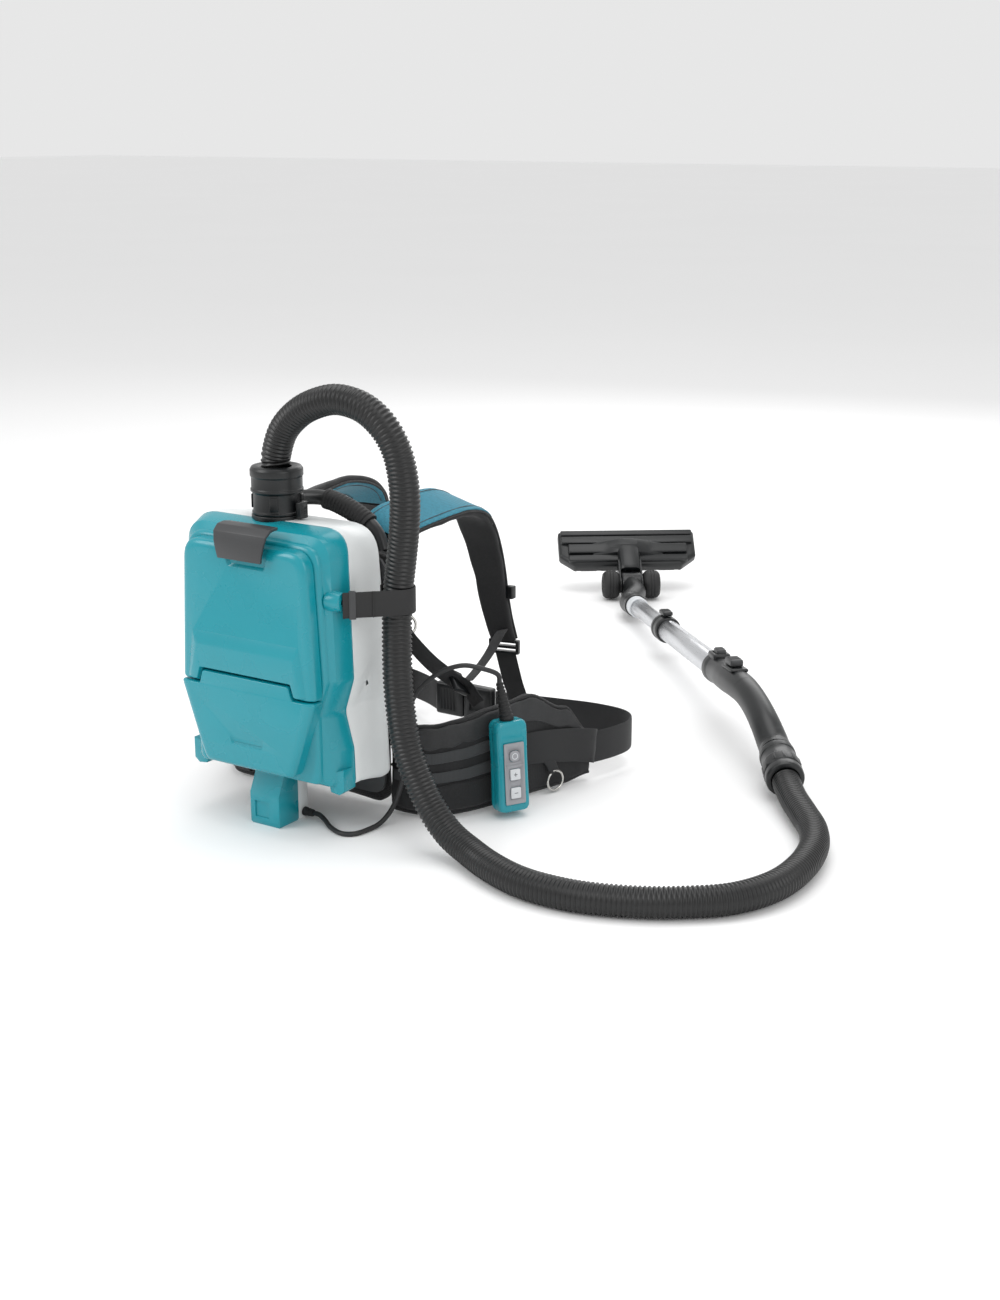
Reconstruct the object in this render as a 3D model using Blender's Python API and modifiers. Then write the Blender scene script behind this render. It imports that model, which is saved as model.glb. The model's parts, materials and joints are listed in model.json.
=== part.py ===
"""Backpack vacuum cleaner: power unit, harness, remote, hose, wand and floor head.

Metres, +Z up, +X to the wearer's right hand side of the unit's front, +Y towards the wearer.
The origin is under the unit's tail foot, and everything stands or lies on z = 0.
"""
import math

import bmesh
import bpy
from mathutils import Matrix, Vector

# ---------------------------------------------------------------- driving dimensions
GAP = 0.0003                       # between pieces that touch
WALL = 0.003                       # moulded shell thickness
SEAM_Y = -0.0135                   # front and rear housings meet here
FRONT_Y = -0.0530                  # front housing's face, behind the cover
COVER_Y = -0.0690                  # cover's outer face
REAR_Y = 0.0550                    # rear housing's back
TAIL_HALF = 0.022
INLET = Vector((-0.005, 0.005, 0.0))
HOSE_RADIUS = 0.0175
CORD_RADIUS = 0.003
CLAMP_Z = 0.290
OUTER_PIPE_RADIUS = 0.0170
INNER_PIPE_RADIUS = 0.0140
PIPE_WALL = 0.0012
PIPE_START = Vector((0.2564, 0.6424, 0.0700))      # where the pipe leaves the handle
PIPE_AXIS = Vector((-0.666, 0.742, -0.079)).normalized()
PIPE_LENGTH = 0.503                # from the handle to the neck, as set
COLLAR_AT = 0.277
CUFF_START = Vector((0.4520, 0.4260, 0.0395))      # hose end cuff on the handle
CUFF_AXIS = Vector((0.565, -0.805, -0.180)).normalized()
CUFF_LENGTH = 0.066
AXLE = Vector((-0.1664, 1.1560, 0.0262))           # floor head's axle
AXLE_DIRECTION = Vector((0.805, 0.593, 0.0)).normalized()
HEAD_PITCH = math.radians(42.0)
HEAD_WIDTH = 0.245
HEAD_DEPTH = 0.074
WHEEL_RADIUS = 0.025
REMOTE_CENTRE = Vector((0.2240, 0.1490, 0.0640))
REMOTE_SIZE = Vector((0.042, 0.028, 0.112))
REMOTE_YAW = math.atan2(-0.48, 0.87) + math.pi / 2
SHIELD_TOP = 0.1925

# colours, roughness and metallic value of each finish
LOOKS = {
    "teal_plastic": ((0.010, 0.330, 0.420), 0.28, 0.0),
    "white_plastic": ((0.780, 0.800, 0.800), 0.38, 0.0),
    "dark_plastic": ((0.030, 0.031, 0.034), 0.45, 0.0),
    "black_plastic": ((0.012, 0.013, 0.015), 0.40, 0.0),
    "hose_plastic": ((0.014, 0.014, 0.014), 0.42, 0.0),
    "rubber": ((0.016, 0.016, 0.017), 0.80, 0.0),
    "teal_fabric": ((0.035, 0.230, 0.320), 0.90, 0.0),
    "black_fabric": ((0.016, 0.016, 0.018), 0.92, 0.0),
    "webbing": ((0.013, 0.013, 0.015), 0.85, 0.0),
    "silver_pipe": ((0.560, 0.570, 0.590), 0.30, 1.0),
    "steel": ((0.600, 0.600, 0.620), 0.25, 1.0),
    "paper": ((0.640, 0.560, 0.430), 0.95, 0.0),
    "filter_media": ((0.800, 0.790, 0.740), 0.95, 0.0),
    "circuit_green": ((0.020, 0.160, 0.070), 0.50, 0.0),
    "grey_plastic": ((0.330, 0.335, 0.350), 0.50, 0.0),
    "button_white": ((0.740, 0.750, 0.760), 0.45, 0.0),
}

for item in list(bpy.data.objects):
    bpy.data.objects.remove(item)
PARTS = bpy.data.collections.new("backpack_vacuum")
CUTTERS = bpy.data.collections.new("cutters")
for group in (PARTS, CUTTERS):
    bpy.context.scene.collection.children.link(group)


# ---------------------------------------------------------------- helpers
def finish_of(name, look):
    """A material of its own for one piece."""
    colour, roughness, metallic = LOOKS[look]
    made = bpy.data.materials.new(name)
    made.use_nodes = True
    shader = made.node_tree.nodes["Principled BSDF"]
    shader.inputs["Base Color"].default_value = (*colour, 1.0)
    shader.inputs["Roughness"].default_value = roughness
    shader.inputs["Metallic"].default_value = metallic
    made.diffuse_color = (*colour, 1.0)
    return made


def place(name, data, look):
    """Makes the object: a part when it has a look, or else a hidden cutter."""
    made = bpy.data.objects.new(name, data)
    if look:
        PARTS.objects.link(made)
        data.materials.append(finish_of(name, look))
    else:
        CUTTERS.objects.link(made)
        made.hide_render = True
        made.display_type = "WIRE"
    return made


def from_bmesh(name, shape, look, smooth=True):
    bmesh.ops.recalc_face_normals(shape, faces=shape.faces)
    data = bpy.data.meshes.new(name)
    shape.to_mesh(data)
    shape.free()
    if smooth:
        data.shade_smooth()
        data.set_sharp_from_angle(angle=math.radians(35))
    return place(name, data, look)


def loft(name, rings, look, cyclic=False):
    """Skins loops of equal length, and caps the ends unless the last loop meets the first."""
    shape = bmesh.new()
    loops = [[shape.verts.new(point) for point in ring] for ring in rings]
    count = len(loops[0])
    pairs = list(zip(loops, loops[1:]))
    if cyclic:
        pairs.append((loops[-1], loops[0]))
    for first, second in pairs:
        for index in range(count):
            after = (index + 1) % count
            shape.faces.new((first[index], first[after], second[after], second[index]))
    if not cyclic:
        shape.faces.new(loops[0])
        shape.faces.new(loops[-1])
    return from_bmesh(name, shape, look)


def rounded(corners, steps=4):
    """A closed outline through (u, v, radius) corners, each one eased by a short curve."""
    points = []
    for index, (u, v, radius) in enumerate(corners):
        corner = Vector((u, v))
        before = (Vector(corners[index - 1][:2]) - corner).normalized()
        after = (Vector(corners[(index + 1) % len(corners)][:2]) - corner).normalized()
        reach = radius / math.tan(before.angle(after) / 2)
        start, end = corner + before * reach, corner + after * reach
        for step in range(steps + 1):
            part = step / steps
            blend = start * (1 - part) ** 2 + corner * 2 * part * (1 - part) + end * part ** 2
            points.append(blend)
    return points


def both_sides(half):
    """Right-hand corners, top to bottom, with their mirror image."""
    return half + [(-u, v, radius) for u, v, radius in reversed(half)]


def facing(corners, y, steps=4):
    """An outline in the XZ plane at y."""
    return [(point.x, y, point.y) for point in rounded(both_sides(corners), steps)]


def inset(half, wall):
    """The same corners moved inwards by a wall."""
    last = len(half) - 1
    lift = {0: -wall, last: wall}
    return [
        (u - wall, v + lift.get(index, 0.0), max(radius - wall, 0.002))
        for index, (u, v, radius) in enumerate(half)
    ]


def box(name, low, high, look, bevel=0.0):
    low, high = Vector(low), Vector(high)
    shape = bmesh.new()
    bmesh.ops.create_cube(shape, size=1.0)
    bmesh.ops.scale(shape, vec=high - low, verts=shape.verts)
    bmesh.ops.translate(shape, vec=(low + high) / 2, verts=shape.verts)
    made = from_bmesh(name, shape, look)
    if bevel:
        edge = made.modifiers.new("edges", "BEVEL")
        edge.width = bevel
        edge.segments = 2
    return made


def aimed(axis, origin, side=None):
    """A matrix whose Z runs along axis, and whose X lies near side."""
    z = Vector(axis).normalized()
    near = Vector(side) if side else Vector((0, 0, 1)) if abs(z.z) < 0.9 else Vector((1, 0, 0))
    y = z.cross(near).normalized()
    x = y.cross(z)
    made = Matrix((x, y, z)).transposed().to_4x4()
    made.translation = Vector(origin)
    return made


def turned(name, profile, look, origin, axis=(0, 0, 1), steps=24, ring=False):
    """A turned piece: (radius, height) points down the outer side; a ring goes back up inside."""
    data = bpy.data.meshes.new(name)
    count = len(profile)
    edges = [(index, index + 1) for index in range(count - 1)]
    if ring:
        edges.append((count - 1, 0))
    data.from_pydata([(radius, 0.0, height) for radius, height in profile], edges, [])
    made = place(name, data, look)
    screw = made.modifiers.new("turn", "SCREW")
    screw.steps = screw.render_steps = steps
    screw.use_merge_vertices = True
    screw.merge_threshold = 0.00001
    screw.use_smooth_shade = True
    made.matrix_world = aimed(axis, origin)
    return made


def smooth_route(points, spacing):
    """Evenly spaced points on a smooth curve through the route's own points."""
    route = [Vector(point) for point in points]
    ends = [route[0] * 2 - route[1]] + route + [route[-1] * 2 - route[-2]]
    fine = []
    for index in range(1, len(ends) - 2):
        before, start, end, after = ends[index - 1:index + 3]
        for step in range(24):
            t = step / 24
            fine.append(0.5 * (
                start * 2 + (end - before) * t
                + (before * 2 - start * 5 + end * 4 - after) * t ** 2
                + (start * 3 - before - end * 3 + after) * t ** 3
            ))
    fine.append(route[-1])
    total = sum((b - a).length for a, b in zip(fine, fine[1:]))
    pieces = max(2, round(total / spacing))
    made, walked, target = [fine[0]], 0.0, total / pieces
    for start, end in zip(fine, fine[1:]):
        length = (end - start).length
        while walked + length >= target - 1e-9 and len(made) < pieces:
            made.append(start.lerp(end, (target - walked) / length))
            target += total / pieces
        walked += length
    made.append(fine[-1])
    return made


def tube(name, points, radius, look, resolution=2):
    """A round bar along points, as a beveled curve with filled caps."""
    data = bpy.data.curves.new(name, "CURVE")
    data.dimensions = "3D"
    data.bevel_depth = radius
    data.bevel_resolution = resolution
    data.use_fill_caps = True
    data.render_resolution_u = 0
    spline = data.splines.new("POLY")
    spline.points.add(len(points) - 1)
    for slot, point in zip(spline.points, points):
        slot.co = (*point, 1.0)
    return place(name, data, look)


def led_route(points, spacing):
    """A smooth route whose first and last stretches stay straight, square to what they meet."""
    return [Vector(points[0])] + smooth_route(points[1:-1], spacing) + [Vector(points[-1])]


def ring_wire(name, centre, normal, radius, wire, look):
    """A closed round ring of wire."""
    frame = aimed(normal, centre)
    shape = bmesh.new()
    sides, turns = 6, 20
    loops = []
    for turn in range(turns):
        around = math.tau * turn / turns
        outward = Vector((math.cos(around), math.sin(around), 0.0))
        loop = []
        for side in range(sides):
            angle = math.tau * side / sides
            local = outward * (radius + wire * math.cos(angle))
            local.z = wire * math.sin(angle)
            loop.append(shape.verts.new(frame @ local))
        loops.append(loop)
    for first, second in zip(loops, loops[1:] + loops[:1]):
        for side in range(sides):
            after = (side + 1) % sides
            shape.faces.new((first[side], first[after], second[after], second[side]))
    return from_bmesh(name, shape, look)


def frames_along(points, up=(0, 0, 1)):
    """(centre, across, above) at each point of a path."""
    made = []
    for index, point in enumerate(points):
        ahead = points[min(index + 1, len(points) - 1)] - points[max(index - 1, 0)]
        across = ahead.cross(Vector(up)).normalized()
        made.append((point, across, across.cross(ahead).normalized()))
    return made


def sweep(name, points, halves, look, bore=None, sides=20, up=(0, 0, 1)):
    """An oval body along points; halves are (half width, half height); bore opens it end to end."""
    outer, inner = [], []
    for (point, across, above), (wide, high) in zip(frames_along(points, up), halves):
        turn = [math.tau * side / sides for side in range(sides)]
        outer.append([point + across * wide * math.cos(a) + above * high * math.sin(a) for a in turn])
        if bore:
            inner.append([point + (across * math.cos(a) + above * math.sin(a)) * bore for a in turn])
    if bore:
        return loft(name, outer + inner[::-1], look, cyclic=True)
    return loft(name, outer, look)


def band(name, stations, thickness, look, spacing=0.02, lift=0.0):
    """A flat strap: stations are (point, width, side vector); lift moves it off its own plane."""
    route = smooth_route([Vector(point) for point, _, _ in stations], spacing)
    marks = [Vector(point) for point, _, _ in stations]
    rings = []
    for index, point in enumerate(route):
        ahead = route[min(index + 1, len(route) - 1)] - route[max(index - 1, 0)]
        nearest = min(range(len(marks) - 1), key=lambda k: section_distance(point, marks, k))
        share = section_share(point, marks, nearest)
        width = stations[nearest][1] * (1 - share) + stations[nearest + 1][1] * share
        side = Vector(stations[nearest][2]).lerp(Vector(stations[nearest + 1][2]), share)
        above = side.cross(ahead).normalized()
        across = ahead.cross(above).normalized()
        centre = point + above * lift
        half, thin = width / 2, thickness / 2
        edge = thin * 0.6
        corners = [
            (half, -thin + edge), (half, thin - edge), (half - edge, thin), (edge - half, thin),
            (-half, thin - edge), (-half, edge - thin), (edge - half, -thin), (half - edge, -thin),
        ]
        rings.append([centre + across * u + above * v for u, v in corners])
    return loft(name, rings, look)


def section_share(point, marks, index):
    """How far point lies along the section from mark index to the next, from 0 to 1."""
    run = marks[index + 1] - marks[index]
    return min(1.0, max(0.0, (point - marks[index]).dot(run) / run.length_squared))


def section_distance(point, marks, index):
    share = section_share(point, marks, index)
    return (point - marks[index].lerp(marks[index + 1], share)).length


def combine(target, tools, operation):
    """Adds one Boolean modifier for each tool."""
    for tool in tools:
        step = target.modifiers.new(tool.name, "BOOLEAN")
        step.operation = operation
        step.object = tool


def cut(target, *tools):
    combine(target, tools, "DIFFERENCE")


def join(target, *tools):
    combine(target, tools, "UNION")


def cylinder_cutter(name, origin, axis, radius, length):
    """A cylinder from origin along axis, for cutting."""
    return turned(name, [(0, length), (radius, length), (radius, 0), (0, 0)], None, origin, axis)


# ---------------------------------------------------------------- power unit
SEAM = [(0.1115, 0.371, 0.030), (0.1165, 0.196, 0.020), (0.1030, 0.155, 0.020),
        (0.1145, 0.112, 0.020), (0.1160, 0.066, 0.008)]
FACET = [(0.1050, 0.365, 0.030), (0.1110, 0.196, 0.020), (0.0970, 0.155, 0.020),
         (0.1020, 0.112, 0.020), (0.1030, 0.068, 0.008)]
FACE = [(0.0920, 0.350, 0.026), (0.1020, 0.196, 0.020), (0.0890, 0.155, 0.020),
        (0.0860, 0.112, 0.020), (0.0840, 0.074, 0.008)]
BACK = [(0.1060, 0.366, 0.040), (0.1160, 0.235, 0.040), (0.1165, 0.160, 0.030),
        (0.1180, 0.112, 0.020), (0.1200, 0.060, 0.010)]
SHIELD = [(0.0650, SHIELD_TOP, 0.003), (0.0700, 0.1765, 0.003), (0.1010, 0.1765, 0.004),
          (0.0740, 0.100, 0.020), (0.0660, 0.080, 0.010)]
COVER = [(0.0920, 0.3515, 0.026), (0.1015, 0.1776, 0.004), (0.0712, 0.1776, 0.003),
         (0.0662, 0.1937, 0.003)]
COVER_EDGE = [(0.0905, 0.3500, 0.025), (0.1000, 0.1782, 0.004), (0.0716, 0.1782, 0.003),
              (0.0666, 0.1941, 0.003)]
COVER_FACE = [(0.0800, 0.3400, 0.020), (0.0880, 0.1840, 0.006), (0.0740, 0.1840, 0.003),
              (0.0690, 0.1975, 0.003)]


def bay_cutters(tag):
    """The battery bays, open at the bottom on each side of the tail."""
    return [
        box(f"bay_{tag}_{side}", (min(side * 0.030, side * 0.104), -0.044, 0.040),
            (max(side * 0.030, side * 0.104), 0.046, 0.118), None)
        for side in (-1, 1)
    ]


def inlet_cutter(tag):
    return cylinder_cutter(f"inlet_{tag}", INLET + Vector((0, 0, 0.33)), (0, 0, 1), 0.0262, 0.08)


def front_housing():
    made = loft("front_housing", [facing(SEAM, SEAM_Y), facing(FACET, -0.040), facing(FACE, FRONT_Y)],
                "teal_plastic")
    hollow = loft("front_hollow", [
        facing(inset(SEAM, WALL), -0.005), facing(inset(SEAM, WALL), SEAM_Y),
        facing(inset(FACET, WALL), -0.0395), facing(inset(FACE, WALL), FRONT_Y + WALL)], None)
    mouth = loft("bag_mouth", [
        facing([(0.084, 0.339, 0.020), (0.094, 0.202, 0.010)], y) for y in (-0.060, -0.045)], None)
    shield = loft("shield", [facing(SHIELD, y) for y in (FRONT_Y + 0.002, COVER_Y)], None)
    tail = box("front_tail", (-TAIL_HALF, -0.043, 0.0), (TAIL_HALF, SEAM_Y - GAP, 0.080), None)
    boss = box("clamp_boss", (0.105, -0.046, 0.279), (0.1205, -0.0262, 0.307), None)
    eye = cylinder_cutter("clamp_eye", (0.114, -0.036, 0.293), (1, 0, 0), 0.004, 0.02)
    cut(made, hollow, mouth, *bay_cutters("front"))
    join(made, shield, tail, boss)
    cut(made, inlet_cutter("front"), eye)


def rear_housing():
    made = loft("rear_housing", [facing(SEAM, SEAM_Y + GAP), facing(SEAM, 0.008), facing(BACK, 0.048),
                                 facing(inset(BACK, 0.004), REAR_Y)], "white_plastic")
    hollow = loft("rear_hollow", [
        facing(inset(SEAM, WALL), -0.020), facing(inset(SEAM, WALL), 0.008),
        facing(inset(BACK, WALL), 0.047), facing(inset(BACK, 0.008), REAR_Y - WALL)], None)
    tail = box("rear_tail", (-TAIL_HALF, SEAM_Y + GAP, 0.0), (TAIL_HALF, 0.012, 0.080), None)
    cut(made, hollow, *bay_cutters("rear"))
    join(made, tail)
    cut(made, inlet_cutter("rear"))


def dust_cover():
    made = loft("dust_cover", [facing(COVER, FRONT_Y - 0.0010), facing(COVER_EDGE, COVER_Y + 0.0065),
                               facing(COVER_FACE, COVER_Y)], "teal_plastic")
    hollow = loft("cover_hollow", [
        facing([(0.088, 0.3465, 0.022), (0.0965, 0.2010, 0.010)], FRONT_Y + 0.011),
        facing([(0.088, 0.3465, 0.022), (0.0965, 0.2010, 0.010)], COVER_Y + 0.0080),
        facing([(0.079, 0.3380, 0.018), (0.0860, 0.2030, 0.008)], COVER_Y + 0.0026)], None)
    cut(made, hollow)


def cover_latch():
    """A lift-up latch on the cover's top edge, with a lip over the edge."""
    made = box("cover_latch", (-0.032, COVER_Y - 0.0075, 0.3370), (0.044, COVER_Y - 0.0015, 0.3700), "dark_plastic", 0.002)
    lip = box("latch_lip", (-0.030, COVER_Y - 0.0030, 0.3535), (0.042, FRONT_Y - 0.0015, 0.3690), None)
    made.modifiers.remove(made.modifiers["edges"])
    join(made, lip)


def unit_internals():
    bag = box("dust_bag", (-0.074, -0.0420, 0.214), (0.074, 0.0300, 0.334), "paper", 0.016)
    throat = cylinder_cutter("bag_throat", INLET + Vector((0, 0, 0.30)), (0, 0, 1), 0.020, 0.06)
    cut(bag, throat)
    turned("bag_collar", [(0.032, 0.0025), (0.032, 0), (0.021, 0), (0.021, 0.0025)], "paper",
           INLET + Vector((0, 0, 0.3350)), ring=True)
    box("hepa_filter", (-0.055, -0.0420, 0.1915), (0.055, 0.0400, 0.2095), "filter_media", 0.001)
    turned("motor_case", [(0.043, 0.060), (0.043, 0), (0.012, 0), (0.012, 0.003), (0.040, 0.003),
                          (0.040, 0.060)], "black_plastic", (0, 0.0, 0.1260), ring=True, steps=24)
    turned("motor_fan", [(0, 0.050), (0.009, 0.050), (0.010, 0.030), (0.037, 0.026), (0.037, 0.012),
                         (0.020, 0.010), (0.010, 0.006), (0, 0.006)], "grey_plastic",
           (0, 0.0, 0.1260), steps=24)
    box("control_board", (-0.060, 0.0470, 0.225), (0.060, 0.0486, 0.320), "circuit_green")
    for side, word in ((-1, "left"), (1, "right")):
        low, high = sorted((side * 0.045, side * 0.090))
        box(f"battery_terminal_{word}", (low, -0.020, 0.1180 + GAP), (high, 0.020, 0.1290),
            "dark_plastic", 0.001)


def inlet():
    turned("inlet_socket", [(0.0300, 0.0305), (0.0300, 0.0265), (0.0258, 0.0265), (0.0258, 0.0),
                            (0.0225, 0.0), (0.0225, 0.0305)], "black_plastic",
           INLET + Vector((0, 0, 0.3450)), ring=True, steps=24)
    turned("hose_cuff", [(0.0270, 0.0545), (0.0310, 0.0520), (0.0310, 0.0270), (0.0285, 0.0240),
                         (0.0285, 0.0030), (0.0300, 0.0020), (0.0300, 0.0), (0.0215, 0.0),
                         (0.0215, 0.0300), (0.0150, 0.0400), (0.0150, 0.0545)], "black_plastic",
           INLET + Vector((0, 0, 0.3758)), ring=True, steps=24)
    box("cuff_release_tab", (0.0270, -0.002, 0.3722), (0.0350, 0.012, 0.3920), "black_plastic", 0.001)


def hose_clamp():
    """A strap from the boss on the housing's side, round the hose."""
    hose = Vector((0.1552, 0.0203, CLAMP_Z))
    radius, turns = 0.0215, 18
    arc = [math.radians(311 + 245 * step / turns) for step in range(turns + 1)]
    plan = [Vector((0.1225, -0.0400, CLAMP_Z)), Vector((0.1450, -0.0170, CLAMP_Z))]
    plan += [hose + Vector((math.cos(a), math.sin(a), 0)) * radius for a in arc]
    rings = []
    for point, across, above in frames_along(plan):
        rings.append([point + across * u + above * v for u, v in
                      ((0.0008, -0.015), (0.0008, 0.015), (-0.0008, 0.015), (-0.0008, -0.015))])
    loft("hose_clamp_strap", rings, "rubber")


HANDLE_ROUTE = [(-0.100, 0.069, 0.3305), (-0.094, 0.069, 0.346), (-0.075, 0.069, 0.362),
                (-0.050, 0.069, 0.3735), (-0.022, 0.069, 0.3805), (0.015, 0.069, 0.3835),
                (0.048, 0.069, 0.3755), (0.074, 0.069, 0.3635), (0.091, 0.069, 0.349),
                (0.099, 0.069, 0.3305)]


def carry_handle():
    points = smooth_route(HANDLE_ROUTE, 0.014)
    tube("carry_handle", points, 0.0092, "black_plastic", 3)
    covered = [point for point in points if 0.020 < point.x < 0.076]
    sweep("handle_grip", covered, [(0.0122, 0.0122)] * len(covered), "rubber", bore=0.0098,
          sides=16, up=(0, 1, 0))


# ---------------------------------------------------------------- harness
def harness_back():
    outline = [(0.113, 0.3295, 0.030), (0.118, 0.200, 0.050), (0.105, 0.030, 0.020)]
    loft("harness_frame", [facing(outline, y) for y in (REAR_Y + GAP, 0.0590)], "dark_plastic")
    pad = [(0.130, 0.334, 0.045), (0.128, 0.130, 0.035)]
    shrunk = [(u - 0.010, v, r) for u, v, r in pad]
    shrunk[0] = (0.120, 0.326, 0.040)
    shrunk[1] = (0.118, 0.138, 0.030)
    made = loft("back_pad", [facing(shrunk, 0.0596), facing(pad, 0.066), facing(pad, 0.086),
                             facing(shrunk, 0.0960)], "black_fabric")
    room = tube("handle_room", smooth_route(HANDLE_ROUTE, 0.014), 0.0115, None, 2)
    room_mesh = bpy.data.meshes.new_from_object(
        room.evaluated_get(bpy.context.evaluated_depsgraph_get()))
    shape = bmesh.new()
    shape.from_mesh(room_mesh)
    bmesh.ops.remove_doubles(shape, verts=shape.verts, dist=0.00001)
    bpy.data.objects.remove(room)
    cut(made, from_bmesh("handle_room_mesh", shape, None))
    box("waist_belt_back", (-0.0985, 0.0596, 0.008), (0.0985, 0.100, 0.118), "black_fabric", 0.008)


SHOULDER_SIDE = (0.93, 0.0, -0.37)
STRAP_STATIONS = [
    ((0.083, 0.0890, 0.3420), 0.056, SHOULDER_SIDE), ((0.085, 0.0975, 0.3500), 0.058, SHOULDER_SIDE),
    ((0.0875, 0.115, 0.3550), 0.060, SHOULDER_SIDE), ((0.092, 0.150, 0.3600), 0.060, SHOULDER_SIDE),
    ((0.0960, 0.190, 0.3630), 0.060, SHOULDER_SIDE), ((0.0970, 0.222, 0.3590), 0.060, (0.95, 0, -0.3)),
    ((0.0980, 0.248, 0.3470), 0.058, (0.97, 0, -0.22)), ((0.0990, 0.266, 0.3250), 0.052, (1, 0.05, -0.1)),
    ((0.1010, 0.280, 0.2940), 0.046, (1, 0.12, 0)), ((0.1040, 0.288, 0.2620), 0.042, (1, 0.15, 0)),
    ((0.1060, 0.293, 0.2340), 0.039, (1, 0.18, 0)), ((0.1090, 0.300, 0.2000), 0.036, (1, 0.20, 0)),
    ((0.1130, 0.309, 0.1660), 0.034, (1, 0.22, 0)),
]
WEBBING_STATIONS = [
    ((0.1140, 0.3118, 0.1500), 0.028, (1, 0.22, 0)), ((0.1190, 0.3210, 0.1100), 0.028, (1, 0.22, 0)),
    ((0.1245, 0.3310, 0.0700), 0.028, (1, 0.2, 0)), ((0.1255, 0.3180, 0.0320), 0.028, (1, 0.1, 0)),
    ((0.1220, 0.2700, 0.0170), 0.028, (1, 0, 0)), ((0.1140, 0.1900, 0.0190), 0.028, (1, 0, 0)),
    ((0.0980, 0.1270, 0.0330), 0.028, (1, 0, 0)), ((0.0850, 0.1060, 0.0520), 0.028, (1, 0, 0)),
]
PAD_THICKNESS = 0.013


def reached(stations, side, reach):
    """Stations mirrored to one side, and stretched away from the wearer's back."""
    start = 0.0905
    return [
        (Vector((x * side, start + (y - start) * (reach if y > start else 1.0), z)), width,
         (u, v * side, w * side))
        for (x, y, z), width, (u, v, w) in stations
    ]


def shoulder_straps():
    for side, word, reach in ((1, "right", 1.0), (-1, "left", 1.28)):
        stations = reached(STRAP_STATIONS, side, reach)
        band(f"shoulder_strap_{word}", stations, PAD_THICKNESS, "black_fabric", 0.022)
        lower = reached(WEBBING_STATIONS, side, reach)
        band(f"adjuster_webbing_{word}", lower, 0.002, "webbing", 0.028)
        middle = (stations[-1][0] + lower[0][0]) / 2
        lock = box(f"ladder_lock_{word}", (-0.018, -0.0035, -0.0044), (0.018, 0.0035, 0.0044),
                   "black_plastic", 0.0015)
        lock.location = middle
        lock.rotation_euler.z = math.atan2(0.22, 1) * side


BELT_PLAN = [(0.1005, 0.082), (0.125, 0.081), (0.150, 0.086), (0.172, 0.112), (0.190, 0.155),
             (0.206, 0.215), (0.224, 0.272), (0.241, 0.308)]
BELT_HEIGHTS = [(0.006, 0.116), (0.006, 0.116), (0.006, 0.118), (0.005, 0.122), (0.005, 0.128),
                (0.005, 0.133), (0.005, 0.106), (0.012, 0.066)]
BELT_THICKNESS = 0.016


def belt_wing(side, word):
    """A padded wing, standing on its lower edge, with rounded top and bottom edges."""
    plan = [Vector((x * side, y, 0)) for x, y in BELT_PLAN]
    marks = [Vector((x * side, y, high)) for (x, y), (_, high) in zip(BELT_PLAN, BELT_HEIGHTS)]
    rings = []
    for point in smooth_route(plan, 0.024):
        nearest = min(range(len(plan) - 1), key=lambda k: section_distance(point, plan, k))
        share = section_share(point, plan, nearest)
        low = BELT_HEIGHTS[nearest][0] * (1 - share) + BELT_HEIGHTS[nearest + 1][0] * share
        high = marks[nearest].z * (1 - share) + marks[nearest + 1].z * share
        run = plan[nearest + 1] - plan[nearest]
        before = plan[max(nearest - 1, 0) + 1] - plan[max(nearest - 1, 0)]
        after_index = min(nearest + 1, len(plan) - 2)
        after = plan[after_index + 1] - plan[after_index]
        blended = (run.normalized() + before.normalized() * max(0, 0.5 - share)
                   + after.normalized() * max(0, share - 0.5))
        across = blended.cross(Vector((0, 0, 1))).normalized()
        half, ease = BELT_THICKNESS / 2, 0.006
        corners = [(half, low + ease), (half, high - ease), (half - ease, high), (ease - half, high),
                   (-half, high - ease), (-half, low + ease), (ease - half, low), (half - ease, low)]
        rings.append([Vector((point.x, point.y, 0)) + across * u + Vector((0, 0, z))
                      for u, z in corners])
    loft(f"belt_wing_{word}", rings, "black_fabric")


WAIST_Z = 0.0430
UPRIGHT = (0, 0, 1)
WAIST_RIGHT = [(0.2470, 0.3150), (0.2570, 0.3450), (0.2610, 0.3780), (0.2520, 0.4030),
               (0.2280, 0.4180), (0.1850, 0.4200), (0.1350, 0.4110), (0.0850, 0.4000), (0.0470, 0.3920)]
WAIST_LEFT = [(-0.0470, 0.3880), (-0.0800, 0.4060), (-0.1200, 0.4190), (-0.1600, 0.4140),
              (-0.2060, 0.3870), (-0.2380, 0.3480), (-0.2470, 0.3150)]


def waist_strap():
    for word, plan in (("right", WAIST_RIGHT), ("left", WAIST_LEFT)):
        stations = [((x, y, WAIST_Z), 0.040, UPRIGHT) for x, y in plan]
        band(f"waist_webbing_{word}", stations, 0.002, "webbing", 0.02)
    box("waist_buckle_socket", (0.0, 0.3800, 0.0180), (0.0460, 0.3960, 0.0680), "black_plastic", 0.003)
    box("waist_buckle_prong", (-0.0460, 0.3800, 0.0200), (-GAP, 0.3940, 0.0660), "black_plastic", 0.003)
    ring_wire("belt_d_ring", (0.2320, 0.2450, 0.0160), (0.95, -0.3, 0), 0.0125, 0.0016, "steel")


# ---------------------------------------------------------------- remote control and its cord
def remote_frame(offset=(0, 0, 0)):
    """The remote's own axes: X across, -Y out of its face, Z up; leaning back five degrees."""
    turn = Matrix.Rotation(REMOTE_YAW, 4, "Z") @ Matrix.Rotation(math.radians(-5), 4, "X")
    return Matrix.Translation(REMOTE_CENTRE) @ turn @ Matrix.Translation(Vector(offset))


KEY_HEIGHTS = {"power_button": 0.014, "speed_button": -0.009, "mode_button": -0.032}
FACE_OUT = -REMOTE_SIZE.y / 2


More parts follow.
